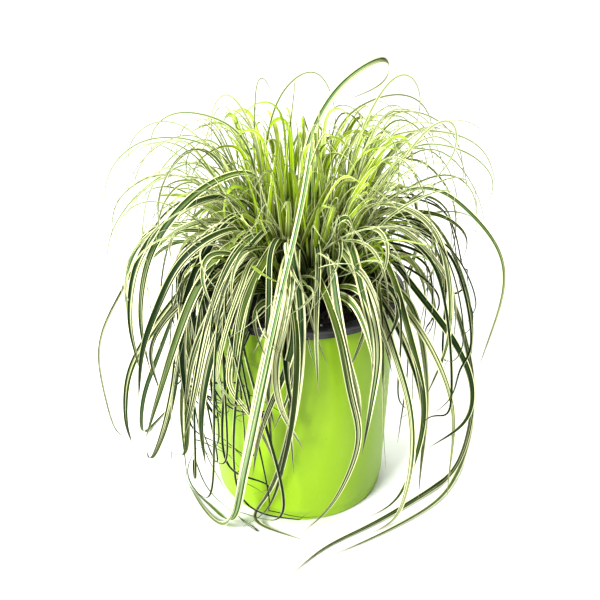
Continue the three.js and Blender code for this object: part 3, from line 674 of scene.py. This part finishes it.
def sedge_blade(look):
    """Channelled leaf, cream along its edges and striped green between, yellower near its root, with a
    silvery bloom and painted sheen along its middle and painted shade on the bases in the middle of the
    tussock.
    """
    finish = Finish("sedge_blade")
    across = finish.attribute("across")
    along = finish.attribute("along")
    tone = finish.attribute("tone")
    youth = finish.attribute("youth")
    dry = finish.attribute("dry")
    side = abs(across)
    place = finish.place()
    flat = finish.scaled(place, (1, 1, 0))
    middle = finish.node("ShaderNodeVectorMath", {"operation": "LENGTH"}, {0: flat}, output="Value")
    height = finish.node("ShaderNodeSeparateXYZ", None, {0: place}, output="Z")
    # Painted shade: a mask for the bases of the blades low in the middle of the tussock, where the blades
    # shade each other
    painted_shade = height.over(0.3, 0.2) * middle.over(0.082, 0.03)
    inner = along.over(0.42, 0.02) * 0.5 + middle.over(0.11, 0.04) * 0.25
    fresh = (youth * (1.05 - along * 0.6) + inner * (0.3 + youth)).over(0.04, 0.96)

    def streaky(crosswise, lengthwise, shifts, *settings):
        """Noise that is drawn out along the blade, and different on each."""
        x, z = (tone * shift for shift in shifts)
        return finish.noise(finish.vector(across * crosswise + x, along * lengthwise, z), *settings)

    stripes = streaky(2.6, 0.8, (61, 97), 1.3, 2, 0.55)
    lines = streaky(3.4, 0.7, (43, 71), 1.4, 1).over(0.5, 0.6)
    veins = streaky(26, 2, (31, 13), 1, 1)
    streaks = streaky(3, 40, (17, 7), 1, 3)

    calm = tone.over(0.02, 0.3)
    green = finish.mix(tone, look.green, look.dark_green)
    # Silvery mix along the middle of the paler grown blades: partly the leaf's own bloom, partly a painted
    # sheen that stands for reflected light
    silver = side.over(0.38, 0.08) * (0.35 + streaks * 0.6) * (1 - tone * tone)
    green = finish.mix(silver, green, look.bloom_and_sheen)
    green = finish.mix(veins.over(0.4, 0.65) * 0.25 + lines * calm * 0.6, green, look.dark_green)
    young = finish.mix(veins.over(0.4, 0.65) * 0.3 + lines * 0.6, look.young, look.young_stripe)
    body = finish.mix(fresh, green, young)
    margin = finish.mix(fresh + inner * 0.7, look.cream, look.young_edge)
    outer = side - (0.05 + tone.over(0.6, 1) * 0.2)
    edge = outer.over(0.5, 0.64)
    border = outer.over(0.28, 0.46) * (0.4 + calm * 0.45)
    body = finish.mix(border, body, finish.mix(fresh, look.dark_green, look.young_stripe))
    pale_stripes = stripes.over(0.55, 0.62) * (1 - side.over(0.3, 0.7)) * (0.2 + calm * 0.55)
    pale = 1 - (1 - edge) * (1 - pale_stripes)
    colour = finish.mix(pale, body, margin)
    colour = finish.mix(along.over(0.8, 1) * (1 - youth) * 0.6, colour, look.dark_green)
    brown = finish.mix(streaks, look.straw, darker(look.straw, 0.45))
    tips = along.over(0.94, 1) * tone.over(0.5, 0.7)
    faded = dry.maths("MAXIMUM", dry, tips * 0.85)
    # Darkens those bases with the painted shade colour
    colour = finish.mix(painted_shade * 0.92, finish.mix(faded, colour, brown), look.painted_shade)
    finish.set(
        Base_Color=colour,
        Roughness=0.36 + pale * 0.08 + streaks * 0.14 + faded * 0.25,
        Specular_IOR_Level=0.08,
    )
    finish.bump(veins, 0.00012, 0.5)
    return finish.material


def studio_floor(colour):
    """Plain pale paper."""
    finish = Finish("studio_floor")
    grain = finish.noise(finish.place(), 60, 3)
    finish.set(Base_Color=finish.mix(grain * 0.04, colour, darker(colour, 0.9)), Roughness=0.9)
    return finish.material


# ---- Settings -------------------------------------------------------------------------------------


def decimal(name, description, default, **settings):
    return FloatProperty(name=name, description=description, default=default, **settings)


def length(name, description, default):
    settings = {"min": 0, "precision": 4, "subtype": "DISTANCE", "unit": "LENGTH"}
    return decimal(name, description, default, **settings)


def power(name, description, default):
    return decimal(name, description, default, min=0, unit="POWER")


def whole_number(name, description, default, least=0):
    return IntProperty(name=name, description=description, default=default, min=least)


def colour(name, description, default):
    settings = {"size": 3, "min": 0, "max": 1, "subtype": "COLOR"}
    return FloatVectorProperty(name=name, description=description, default=default, **settings)


class SedgePots(PropertyGroup):
    rim_height: length("Rim height", "Top of the nursery pot's lip above the table", RIM_HEIGHT * MM)
    lip_radius: length("Lip radius", "Outside radius of the nursery pot's lip", LIP_RADIUS * MM)
    lip_drop: length("Lip drop", "Height of the lip's outer band", 0.008)
    nursery_top: length("Nursery pot top", "Radius of its wall under the lip", MOUTH_RADIUS * MM)
    nursery_foot: length("Nursery pot foot", "Radius of its wall at the foot", 0.066)
    nursery_wall: length("Nursery pot wall", "Thickness of its wall", 0.0012)
    cover_top: length("Cover pot top", "Outside radius at its edge", 0.0795)
    cover_foot: length("Cover pot foot", "Outside radius at its foot", 0.075)
    cover_wall: length("Cover pot wall", "Thickness of its wall", 0.0016)
    foot_height: length("Foot height", "Height of the stepped-in foot", 0.009)
    lime: colour("Lime", "Colour of the cover pot", (0.305, 0.535, 0.0035))
    lime_shade: colour("Lime shade", "Deeper colour in the cover pot's clouding", (0.25, 0.465, 0.003))
    black: colour("Black", "Colour of the nursery pot", (0.011, 0.011, 0.014))
    dust: colour("Dust", "Colour of dust and scuffs on the nursery pot", (0.07, 0.07, 0.08))


class SedgeSoil(PropertyGroup):
    level: length("Level", "Height of the soil above the table", SOIL_LEVEL * MM)
    crumb_count: whole_number("Crumbs", "Loose crumbs on the soil", 900)
    grain_count: whole_number("Light grains", "White grains in the soil", 34)
    seed: whole_number("Seed", "Seed of the crumbs' places", 7, 1)
    dark: colour("Dark", "Colour of damp soil", (0.006, 0.0045, 0.0035))
    light: colour("Light", "Colour of dry fibres", (0.05, 0.032, 0.02))
    grain: colour("Grain", "Colour of the light grains", (0.62, 0.6, 0.54))


class SedgeTussock(PropertyGroup):
    seed: whole_number("Seed", "Seed of the drawn blades", 20260877, 1)
    thickness: length("Thickness", "Thickness of a blade", 0.0004)
    channel: decimal("Channel", "How deeply a blade is channelled, as a share of its half width", 0.34)
    cream: colour("Cream", "Edges of grown blades", (0.86, 0.88, 0.48))
    green: colour("Green", "Middle of grown blades", (0.042, 0.115, 0.018))
    dark_green: colour("Dark green", "Darkest stripes of grown blades", (0.004, 0.016, 0.002))
    # Colour of the bloom on grown blades, and of the painted sheen mixed in with it
    bloom_and_sheen: colour("Grey green", "Bloom on grown blades", (0.26, 0.43, 0.18))
    young: colour("Young", "Middle of young blades", (0.5, 0.72, 0.012))
    young_stripe: colour("Young stripe", "Stripes of young blades", (0.06, 0.15, 0.001))
    young_edge: colour("Young edge", "Edges of young blades", (0.88, 0.95, 0.34))
    # Colour of the painted shade on the bases of the blades in the middle of the tussock
    painted_shade: colour("Deep", "Bases of the blades in the middle of the tussock", (0.016, 0.035, 0.002))
    straw: colour("Straw", "Dry blades and tips", (0.44, 0.35, 0.16))


class SedgeStage(PropertyGroup):
    floor: colour("Floor", "Colour of the floor and backdrop", (0.9, 0.9, 0.9))
    key_power: power("Key light", "Power of the light from the front left", 44)
    fill_power: power("Fill light", "Power of the light from the right", 0.3)
    back_power: power("Back light", "Power of the light on the backdrop", 42)
    sky: decimal("Sky", "Strength of the light from all round", 0.07, min=0)
    camera_distance: length("Camera distance", "How far the camera stands in front of the axis", 0.505)
    camera_height: length("Camera height", "Height of the camera", 0.4118)
    camera_tilt: decimal("Camera tilt", "How far the camera looks down", math.radians(25.6), subtype="ANGLE")
    lens: decimal("Lens", "Focal length in millimetres", 40.5, min=1)


# ---- Pieces ---------------------------------------------------------------------------------------

POT_SIDES = 160
POT_SHARPNESS = 60  # edges that bend more than this stay sharp
# The cover pot: how far its edge is under the lip, the step over its foot, its floor, its rounding, and the
# pad and the ring under it, which stand out of a recess with slanted sides
COVER_DROP = 0.0019
COVER_STEP = 0.0009
COVER_FLOOR = 0.003
COVER_ROUNDING = 0.0006
COVER_PAD = 0.014
COVER_RING = 0.067
COVER_RECESS = 0.0012
COVER_SLANT = 0.001
# The nursery pot: the height of its foot, its chamfer and its rounding
POT_FOOT = 0.006
FOOT_CHAMFER = 0.002
NURSERY_ROUNDING = 0.0005
# Its lip: the thickness, the bead's depth, slope and crown, the bead's and the slope's breadth, the dip
# inside it, and how far down the mouth and the throat start
LIP_SKIN = 0.0016
BEAD_DEPTH = 0.0026
BEAD_SLOPE = 0.0011
BEAD_CROWN = 0.0008
BEAD_BREADTH = 0.0034
SLOPE_BREADTH = 0.0006
LIP_DIP = 0.0005
MOUTH_DROP = 0.0018
THROAT_DROP = 0.012
THROAT_NARROWING = 0.0008
# Its drain holes: how many, the circle that they lie on, and the size and sides of their drill
DRAIN_HOLES = 6
DRAIN_CIRCLE = 0.044
DRAIN_RADIUS = 0.005
DRILL_LENGTH = 0.01
DRILL_SIDES = 24
# The soil: its underside, the gap to the pot's wall, its rings and sides, and its bumps and hollows, each
# with a scale, a place in the noise and a height
SOIL_FOOT = 0.0075
SOIL_GAP = 0.0004
SOIL_RINGS = 64
SOIL_SIDES = 180
BUMPS = (150, 3.7, 0.0013)
HOLLOWS = (38, 9.1, 0.0018)
BUMP_NOISE = (0.7, 2.1, 5)  # how fine, how fast finer, and how many times
GROUND_TINT = 0.15  # how light the soil under the crumbs is
# Crumbs and light grains: how far they keep from the soil's edge, their sizes, how unevenly they are
# stretched, how much of their size they stand up, and how lumpy they are
CRUMB_MARGIN = 0.004
CRUMB_SIZE = (0.0006, 0.0024)
CRUMB_STRETCH = (0.6, 1.3)
CRUMB_RISE = 0.35
CRUMB_RARITY = 2.5  # of the large ones
GRAIN_SIZE = (0.0007, 0.0015)
GRAIN_STRETCH = (0.8, 1.2)
GRAIN_RISE = 0.7
LUMPINESS = (0.72, 1.2)


class SEDGE_OT_cover_pot(Operator):
    """Turns the lime cover pot"""

    bl_idname = "sedge.cover_pot"
    bl_label = "Cover pot"

    def execute(self, context):
        pots = context.scene.sedge_pots
        rim, foot = pots.rim_height, pots.foot_height
        top = rim - COVER_DROP

        def wall(height):
            return pots.cover_foot + (pots.cover_top - pots.cover_foot) * height / rim

        outline = rounded(
            [
                (0, 0),
                (COVER_PAD, 0),
                (COVER_PAD + COVER_SLANT, COVER_RECESS),
                (COVER_RING - COVER_SLANT, COVER_RECESS),
                (COVER_RING, 0),
                (pots.cover_foot - COVER_STEP - COVER_RECESS, 0),
                (pots.cover_foot - COVER_STEP, COVER_RECESS),
                (wall(foot) - COVER_STEP, foot),
                (wall(foot + COVER_STEP), foot + COVER_STEP),
                (wall(rim / 3), rim / 3),
                (wall(2 * rim / 3), 2 * rim / 3),
                (wall(top), top),
                (wall(top) - pots.cover_wall, top),
                (wall(COVER_FLOOR) - pots.cover_wall - COVER_STEP, COVER_FLOOR),
                (0, COVER_FLOOR),
            ],
            COVER_ROUNDING,
        )
        plastic = lime_plastic(pots.lime, pots.lime_shade)
        pot = turned("lime_cover_pot", outline, POT_SIDES, plastic, POT_SHARPNESS)
        finish_piece(pot, "lime_plastic", "cover_pot")
        return {"FINISHED"}


class SEDGE_OT_nursery_pot(Operator):
    """Turns the black nursery pot and drills its drain holes"""

    bl_idname = "sedge.nursery_pot"
    bl_label = "Nursery pot"

    def execute(self, context):
        pots = context.scene.sedge_pots
        rim, lip = pots.rim_height, pots.lip_radius
        band = lip - BEAD_SLOPE  # outside of the lip under its bead
        inner = pots.nursery_top - pots.nursery_wall
        floor_radius = pots.nursery_foot - pots.nursery_wall
        outline = rounded(
            [
                (0, POT_FOOT),
                (pots.nursery_foot - FOOT_CHAMFER, POT_FOOT),
                (pots.nursery_foot, POT_FOOT + FOOT_CHAMFER),
                (pots.nursery_top, rim - LIP_SKIN),
                (band - LIP_SKIN, rim - LIP_SKIN),
                (band - LIP_SKIN, rim - pots.lip_drop),
                (band, rim - pots.lip_drop),
                (band, rim - BEAD_DEPTH - BEAD_SLOPE),
                (lip, rim - BEAD_DEPTH),
                (lip, rim - BEAD_CROWN),
                (lip - BEAD_CROWN, rim),
                (lip - BEAD_BREADTH, rim),
                (lip - BEAD_BREADTH - SLOPE_BREADTH, rim - LIP_DIP),
                (inner + LIP_SKIN, rim - LIP_DIP),
                (inner, rim - MOUTH_DROP),
                (inner - THROAT_NARROWING, rim - THROAT_DROP),
                (floor_radius, POT_FOOT + pots.nursery_wall),
                (0, POT_FOOT + pots.nursery_wall),
            ],
            NURSERY_ROUNDING,
        )
        plastic = black_plastic(pots.black, pots.dust)
        pot = turned("black_nursery_pot", outline, POT_SIDES, plastic, POT_SHARPNESS)
        drills = []
        for i in range(DRAIN_HOLES):
            at = polar(360 / DRAIN_HOLES * i, DRAIN_CIRCLE, POT_FOOT)
            size = {"radius": DRAIN_RADIUS, "depth": DRILL_LENGTH, "vertices": DRILL_SIDES}
            bpy.ops.mesh.primitive_cylinder_add(location=at, **size)
            drills.append(context.object)
        for drill in drills:
            cut = pot.modifiers.new("drain_hole", "BOOLEAN")
            cut.object, cut.operation, cut.solver = drill, "DIFFERENCE", "EXACT"
        drilled = bpy.data.meshes.new_from_object(pot.evaluated_get(context.evaluated_depsgraph_get()))
        pot.modifiers.clear()
        pot.data = drilled
        for drill in drills:
            bpy.data.objects.remove(drill)
        if len(pot.data.polygons) < 1000:
            raise RuntimeError("the drain holes couldn't be drilled")
        finish_piece(pot, "black_plastic", "nursery_pot")
        return {"FINISHED"}


def lump(rng, at, size, stretch):
    """The points and faces of an uneven crumb."""
    gold = (1 + 5**0.5) / 2
    flat = [(-1, gold, 0), (1, gold, 0), (-1, -gold, 0), (1, -gold, 0)]
    corners = [np.roll(corner, shift) for shift in range(3) for corner in flat]
    sides = [
        (0, 11, 5), (0, 5, 1), (0, 1, 7), (0, 7, 10), (0, 10, 11), (1, 5, 9), (5, 11, 4), (11, 10, 2),
        (10, 7, 6), (7, 1, 8), (3, 9, 4), (3, 4, 2), (3, 2, 6), (3, 6, 8), (3, 8, 9), (4, 9, 5), (2, 4, 11),
        (6, 2, 10), (8, 6, 7), (9, 8, 1),
    ]
    points = [np.array(c) / np.linalg.norm(c) for c in corners]
    faces, middles = [], {}

    def middle(a, b):
        key = (min(a, b), max(a, b))
        if key not in middles:
            middles[key] = len(points)
            between = points[a] + points[b]
            points.append(between / np.linalg.norm(between))
        return middles[key]

    for a, b, c in sides:
        ab, bc, ca = middle(a, b), middle(b, c), middle(c, a)
        faces += [(a, ab, ca), (b, bc, ab), (c, ca, bc), (ab, bc, ca)]
    shape = np.array(points) * rng.uniform(*LUMPINESS, (len(points), 1))
    turn = Matrix.Rotation(rng.uniform(0, 6.28), 3, Vector(rng.normal(size=3)).normalized())
    shape = (shape * stretch) @ np.array(turn) * size + at
    return shape, np.array(faces)


class SEDGE_OT_soil(Operator):
    """Fills the nursery pot with soil, with crumbs and light grains on it"""

    bl_idname = "sedge.soil"
    bl_label = "Soil"

    def execute(self, context):
        soil, pots = context.scene.sedge_soil, context.scene.sedge_pots
        rng = np.random.default_rng(soil.seed)
        share = (soil.level - POT_FOOT) / (pots.rim_height - POT_FOOT)
        small = pots.nursery_foot - pots.nursery_wall - SOIL_GAP
        wall = small + (pots.nursery_top - pots.nursery_foot) * share

        def height(x, y):
            scale, layer, rise = BUMPS
            bumps = rise * noise.fractal(Vector((x * scale, y * scale, layer)), *BUMP_NOISE)
            scale, layer, rise = HOLLOWS
            return soil.level + bumps + rise * noise.noise(Vector((x * scale, y * scale, layer)))

        def strewn(sizes, rarity, rise, stretch):
            """The points and faces of a crumb at a drawn place."""
            reach, turn = (wall - CRUMB_MARGIN) * math.sqrt(rng.uniform()), rng.uniform(0, 2 * math.pi)
            x, y = reach * math.cos(turn), reach * math.sin(turn)
            size = sizes[0] + (sizes[1] - sizes[0]) * rng.uniform() ** rarity
            return lump(rng, (x, y, height(x, y) + size * rise), size, rng.uniform(*stretch, 3))

        reaches = [wall * i / SOIL_RINGS for i in range(SOIL_RINGS, 0, -1)]
        rings = [ring(reach, height, SOIL_SIDES) for reach in reaches]
        rings.insert(0, ring(small, SOIL_FOOT, SOIL_SIDES))
        points, faces = body_of_rings(rings, (0, 0, SOIL_FOOT), (0, 0, height(0, 0)))
        tints = [GROUND_TINT] * len(points)
        for _ in range(soil.crumb_count):
            shape, sides_of = strewn(CRUMB_SIZE, CRUMB_RARITY, CRUMB_RISE, CRUMB_STRETCH)
            faces += [tuple(f) for f in sides_of + len(points)]
            points += [tuple(p) for p in shape]
            tints += [float(rng.uniform() ** 2)] * len(shape)
        peat = potting_soil(soil.dark, soil.light)
        ground = mesh_object("soil_surface", points, faces, peat, sharp_angle=80)
        point_values(ground, "tint", tints)
        finish_piece(ground, "potting_soil", "potting_soil")

        points, faces = [], []
        for _ in range(soil.grain_count):
            shape, sides_of = strewn(GRAIN_SIZE, 1, GRAIN_RISE, GRAIN_STRETCH)
            faces += [tuple(f) for f in sides_of + len(points)]
            points += [tuple(p) for p in shape]
        grains = mesh_object("soil_grains", points, faces, light_grains(soil.grain), sharp_angle=40)
        finish_piece(grains, "potting_soil")
        return {"FINISHED"}


# ---- Shoots ---------------------------------------------------------------------------------------

# A blade's section: share of the half width, share of the channel's depth, share of the thickness
FACE = [(-1, 1, 0), (-0.52, 0.36, 0), (0, 0, 0), (0.52, 0.36, 0), (1, 1, 0)]
BACK = [(0.52, 0.36, -1), (0, 0, -1.3), (-0.52, 0.36, -1)]
SECTION = np.array(FACE + BACK)
THINNING = 0.6  # how much of its thickness and its channel a blade loses towards its tip
LEAST_RISE = 0.2  # of a blade's edge from the table, in millimetres
RIDGES = 0.08  # relief of a sheath, as a share of its radius
SHEATH_ALONG = 0.04  # a sheath is coloured like this share of a blade's length
SHEATH_YOUTH = 0.5
# A blade's column of the bake map: how much of it each side of the section takes, where the column
# starts and ends along the map and across its share, and how high the blade's end caps are
COLUMN = np.array([0, 0.15, 0.3, 0.45, 0.6, 0.7, 0.8, 0.9, 1])
COLUMN_FOOT, COLUMN_HEIGHT = 0.02, 0.96
COLUMN_SIDE, COLUMN_BREADTH = 0.05, 0.9
CAP_HEIGHT = 0.015


def width_share(share, kind):
    """Width of a blade at a share of its length, as a share of its widest."""
    opening = min(1, ROOT_BREADTH + OPENING * share)
    return max(TIP_BREADTH, opening * (1 - share ** TAPER[kind not in KINDS]) ** BLUNTNESS)


def blade_rings(blade, thickness, channel):
    """The rings of points round a blade, from under its sheath to its tip, in metres."""
    line = blade_line(blade)
    steps = len(line)
    side = polar(blade["heading"] + 90, 1, 0)
    spin = FACING * math.cos(math.radians(blade["heading"])) if blade["kind"] in KINDS else 0
    alongs = np.diff(line, axis=0)
    alongs /= np.maximum(np.linalg.norm(alongs, axis=1), 1e-9)[:, None]
    rings = np.empty((steps, len(SECTION), 3))
    for i in range(steps):
        along = alongs[min(i, steps - 2)] + alongs[max(i - 1, 0)]
        along /= np.linalg.norm(along)
        side = side - along * side.dot(along)
        side /= np.linalg.norm(side)
        share = i / (steps - 1)
        turn = math.radians(blade["twist"] * share + spin)
        up = np.cross(along, side)
        across = side * math.cos(turn) + up * math.sin(turn)
        half = blade["width"] * width_share(share, blade["kind"]) / 2
        rise = max(LEAST_RISE, line[i][2] - TABLE_CLEARANCE) / half
        if abs(across[2]) > rise:
            across[2] = math.copysign(rise, across[2])
            across /= np.linalg.norm(across)
        up = np.cross(along, across)
        up /= np.linalg.norm(up)
        thin = 1 - THINNING * share
        lift = SECTION[:, 1:2] * channel * half * thin + SECTION[:, 2:] * thickness * thin
        rings[i] = line[i] + SECTION[:, :1] * half * across + lift * up
    return rings[:: 2 if blade["kind"] in FINE_KINDS else 1] * MM


def sheath_rings(at, heading, steps=8, count=8):
    """The rings round the sheath that a shoot's blades come out of, in metres."""
    rings = np.empty((steps + 1, count, 3))
    for i in range(steps + 1):
        share = i / steps
        rise = (SHEATH_RISE + SHEATH_DEPTH) * share - SHEATH_DEPTH
        radius = SHEATH_FOOT_RADIUS + (SHEATH_TOP_RADIUS - SHEATH_FOOT_RADIUS) * share**0.7
        for k in range(count):
            ridge = 1 + RIDGES * math.sin(2.5 * k + 0.6 * i)
            rings[i, k] = at + polar(heading + 360 * k / count, radius * ridge, rise)
    return rings * MM


def strips_object(name, strips, material):
    """One object from strips: their rings, how young, dark and dry they are, and their margins."""
    points, faces, places = [], [], []
    values = {"across": [], "along": [], "youth": [], "tone": [], "dry": []}
    start = 0
    count = len(SECTION)
    for number, (rings, youth, tone, dry, margin) in enumerate(strips):
        steps = len(rings)
        points.append(rings.reshape(-1, 3))
        i, k = (grid.ravel() for grid in np.meshgrid(np.arange(steps - 1), np.arange(count), indexing="ij"))
        n = (k + 1) % count
        near, far = start + i * count, start + (i + 1) * count
        faces.append(np.stack([near + k, near + n, far + n, far + k], 1))
        v0, v1 = (COLUMN_FOOT + COLUMN_HEIGHT * (i + step) / (steps - 1) for step in (0, 1))
        shares = COLUMN_SIDE + COLUMN_BREADTH * COLUMN
        u0, u1 = ((number + shares[k + step]) / len(strips) for step in (0, 1))
        places.append(np.stack([u0, v0, u1, v0, u1, v1, u0, v1], 1))
        for end, low in ((0, 0), (steps - 1, 1 - CAP_HEIGHT)):
            caps = np.array([(0, 1, 2, 3), (0, 3, 4, 7), (4, 5, 6, 7)]) + start + end * count
            faces.append(caps if end else caps[:, ::-1])
            left = (number + np.array([0.1, 0.4, 0.7])) / len(strips)
            right = left + 0.2 / len(strips)
            v0, v1 = np.full(3, low), np.full(3, low + CAP_HEIGHT)
            places.append(np.stack([left, v0, right, v0, right, v1, left, v1], 1))
        lengthways = np.linspace(0, 1, steps) if number else np.full(steps, SHEATH_ALONG)
        values["along"].append(np.repeat(lengthways, count))
        values["across"].append(np.tile(SECTION[:, 0] * margin, steps))
        for key, value in (("youth", youth), ("tone", tone), ("dry", dry)):
            values[key].append(np.full(steps * count, value))
        start += steps * count
    points, faces = np.concatenate(points), np.concatenate(faces)
    piece = mesh_object(name, points, faces, material, sharp_angle=70)
    for key, parts in values.items():
        point_values(piece, key, np.concatenate(parts))
    layer = piece.data.uv_layers.new(name="OFBake")
    layer.data.foreach_set("uv", np.concatenate(places).astype(np.float32).ravel())
    return piece


class SEDGE_OT_shoots(Operator):
    """Grows the leafy shoots, one piece for each"""

    bl_idname = "sedge.shoots"
    bl_label = "Shoots"

    def execute(self, context):
        tussock = context.scene.sedge_tussock
        material = sedge_blade(tussock)
        draw = seeded(tussock.seed + 1)
        thickness = tussock.thickness / MM
        shoots = zip(shoot_places(), blades_of_shoots(tussock.seed))
        for number, ((_, heading, at), blades) in enumerate(shoots, 1):
            strips = [(sheath_rings(at, heading), SHEATH_YOUTH, draw(), 0, 1)]
            for blade in blades:
                youths, tones, margin = LOOKS[blade["kind"]]
                youth = draw(*youths)
                tone = draw(*tones)
                shade = max(0, math.cos(math.radians(blade["heading"] - SHADED)))
                if blade["kind"] in ("leader", "weeper"):
                    tone += (1 - tone) * SHADE_TONE * shade
                dry = 1 if blade["kind"] == "wisp" and draw() > 1 - DRY_WISPS else 0
                margin *= 1 - SHADE_MARGIN * shade
                strips.append((blade_rings(blade, thickness, tussock.channel), youth, tone, dry, margin))
            piece = strips_object(f"blades_{number:02d}", strips, material)
            finish_piece(piece, "sedge_blade", f"shoot_{number:02d}")
        return {"FINISHED"}


# ---- Stage ----------------------------------------------------------------------------------------

# The floor and the backdrop, which it bends up into
FLOOR_HALF = 3
FLOOR_FRONT = -2.5
FLOOR_BACK = 1.6
FLOOR_DROP = 0.0002  # under the table's height, so that nothing flickers
BEND = 0.8
BEND_STEPS = 12
BACKDROP_TOP = 2.6
PLANT = (0, 0, 0.16)
# Each light's place, its size and what it points at
SOFTBOXES = {
    "key_light": ((-0.85, -0.95, 0.95), 0.5, PLANT),
    "fill_light": ((1.1, -0.6, 0.7), 1, PLANT),
    "top_light": ((0.1, 0.35, 1.5), 1.2, PLANT),
    "back_light": ((0, 1.2, 1.9), 1.6, (0, 2.4, 0.5)),
}
TOP_SHARE = 0.6  # of the key light's power


class SEDGE_OT_stage(Operator):
    """Sets up the pale floor, the soft light and the camera"""

    bl_idname = "sedge.stage"
    bl_label = "Stage"

    def execute(self, context):
        stage = context.scene.sedge_stage
        profile = [(FLOOR_FRONT, 0), (FLOOR_BACK, 0)]
        for i in range(1, BEND_STEPS + 1):
            turn = math.pi / 2 * i / BEND_STEPS
            profile.append((FLOOR_BACK + BEND * math.sin(turn), BEND * (1 - math.cos(turn))))
        profile.append((FLOOR_BACK + BEND, BACKDROP_TOP))
        points = [(x, y, z - FLOOR_DROP) for y, z in profile for x in (-FLOOR_HALF, FLOOR_HALF)]
        faces = [(2 * i, 2 * i + 1, 2 * i + 3, 2 * i + 2) for i in range(len(profile) - 1)]
        floor = mesh_object("studio_floor", points, faces, studio_floor(stage.floor))

        powers = {
            "key_light": stage.key_power,
            "fill_light": stage.fill_power,
            "top_light": stage.key_power * TOP_SHARE,
            "back_light": stage.back_power,
        }
        for name, (place, size, target) in SOFTBOXES.items():
            lamp = bpy.data.lights.new(name, "AREA")
            lamp.shape = "SQUARE"
            lamp.size = size
            lamp.energy = powers[name]
            light = bpy.data.objects.new(name, lamp)
            light.location = place
            light.rotation_euler = (Vector(target) - Vector(place)).to_track_quat("-Z", "Y").to_euler()
            context.scene.collection.objects.link(light)

        world = bpy.data.worlds.new("studio")
        world.use_nodes = True
        sky = world.node_tree.nodes["Background"]
        sky.inputs["Color"].default_value = (1, 1, 1, 1)
        sky.inputs["Strength"].default_value = stage.sky
        context.scene.world = world
        context.scene.view_settings.view_transform = "Standard"

        lens = bpy.data.cameras.new("camera")
        lens.lens = stage.lens
        camera = bpy.data.objects.new("camera", lens)
        camera.location = (0, -stage.camera_distance, stage.camera_height)
        camera.rotation_euler = (math.pi / 2 - stage.camera_tilt, 0, 0)
        context.scene.collection.objects.link(camera)
        context.scene.camera = camera
        return {"FINISHED"}


class SEDGE_PT_panel(Panel):
    """Lists the sedge's pieces and their settings"""

    bl_label = "Potted sedge"
    bl_idname = "SEDGE_PT_panel"
    bl_space_type = "VIEW_3D"
    bl_region_type = "UI"
    bl_category = "Sedge"

    def draw(self, context):
        for operator, group in STEPS:
            box = self.layout.box()
            settings = getattr(context.scene, group)
            for name in settings.bl_rna.properties.keys():
                if name not in ("rna_type", "name"):
                    box.prop(settings, name)
            box.operator(operator.bl_idname)


GROUPS = {
    "sedge_pots": SedgePots,
    "sedge_soil": SedgeSoil,
    "sedge_tussock": SedgeTussock,
    "sedge_stage": SedgeStage,
}
STEPS = [
    (SEDGE_OT_cover_pot, "sedge_pots"),
    (SEDGE_OT_nursery_pot, "sedge_pots"),
    (SEDGE_OT_soil, "sedge_soil"),
    (SEDGE_OT_shoots, "sedge_tussock"),
    (SEDGE_OT_stage, "sedge_stage"),
]


def register():
    for group in GROUPS.values():
        bpy.utils.register_class(group)
    for name, group in GROUPS.items():
        setattr(bpy.types.Scene, name, PointerProperty(type=group))
    for operator, _ in STEPS:
        bpy.utils.register_class(operator)
    bpy.utils.register_class(SEDGE_PT_panel)


def unregister():
    bpy.utils.unregister_class(SEDGE_PT_panel)
    for operator, _ in reversed(STEPS):
        bpy.utils.unregister_class(operator)
    for name, group in GROUPS.items():
        delattr(bpy.types.Scene, name)
        bpy.utils.unregister_class(group)


def main():
    register()
    bpy.ops.sedge.cover_pot()
    bpy.ops.sedge.nursery_pot()
    bpy.ops.sedge.soil()
    bpy.ops.sedge.shoots()
    bpy.ops.sedge.stage()


if __name__ == "__main__":
    main()
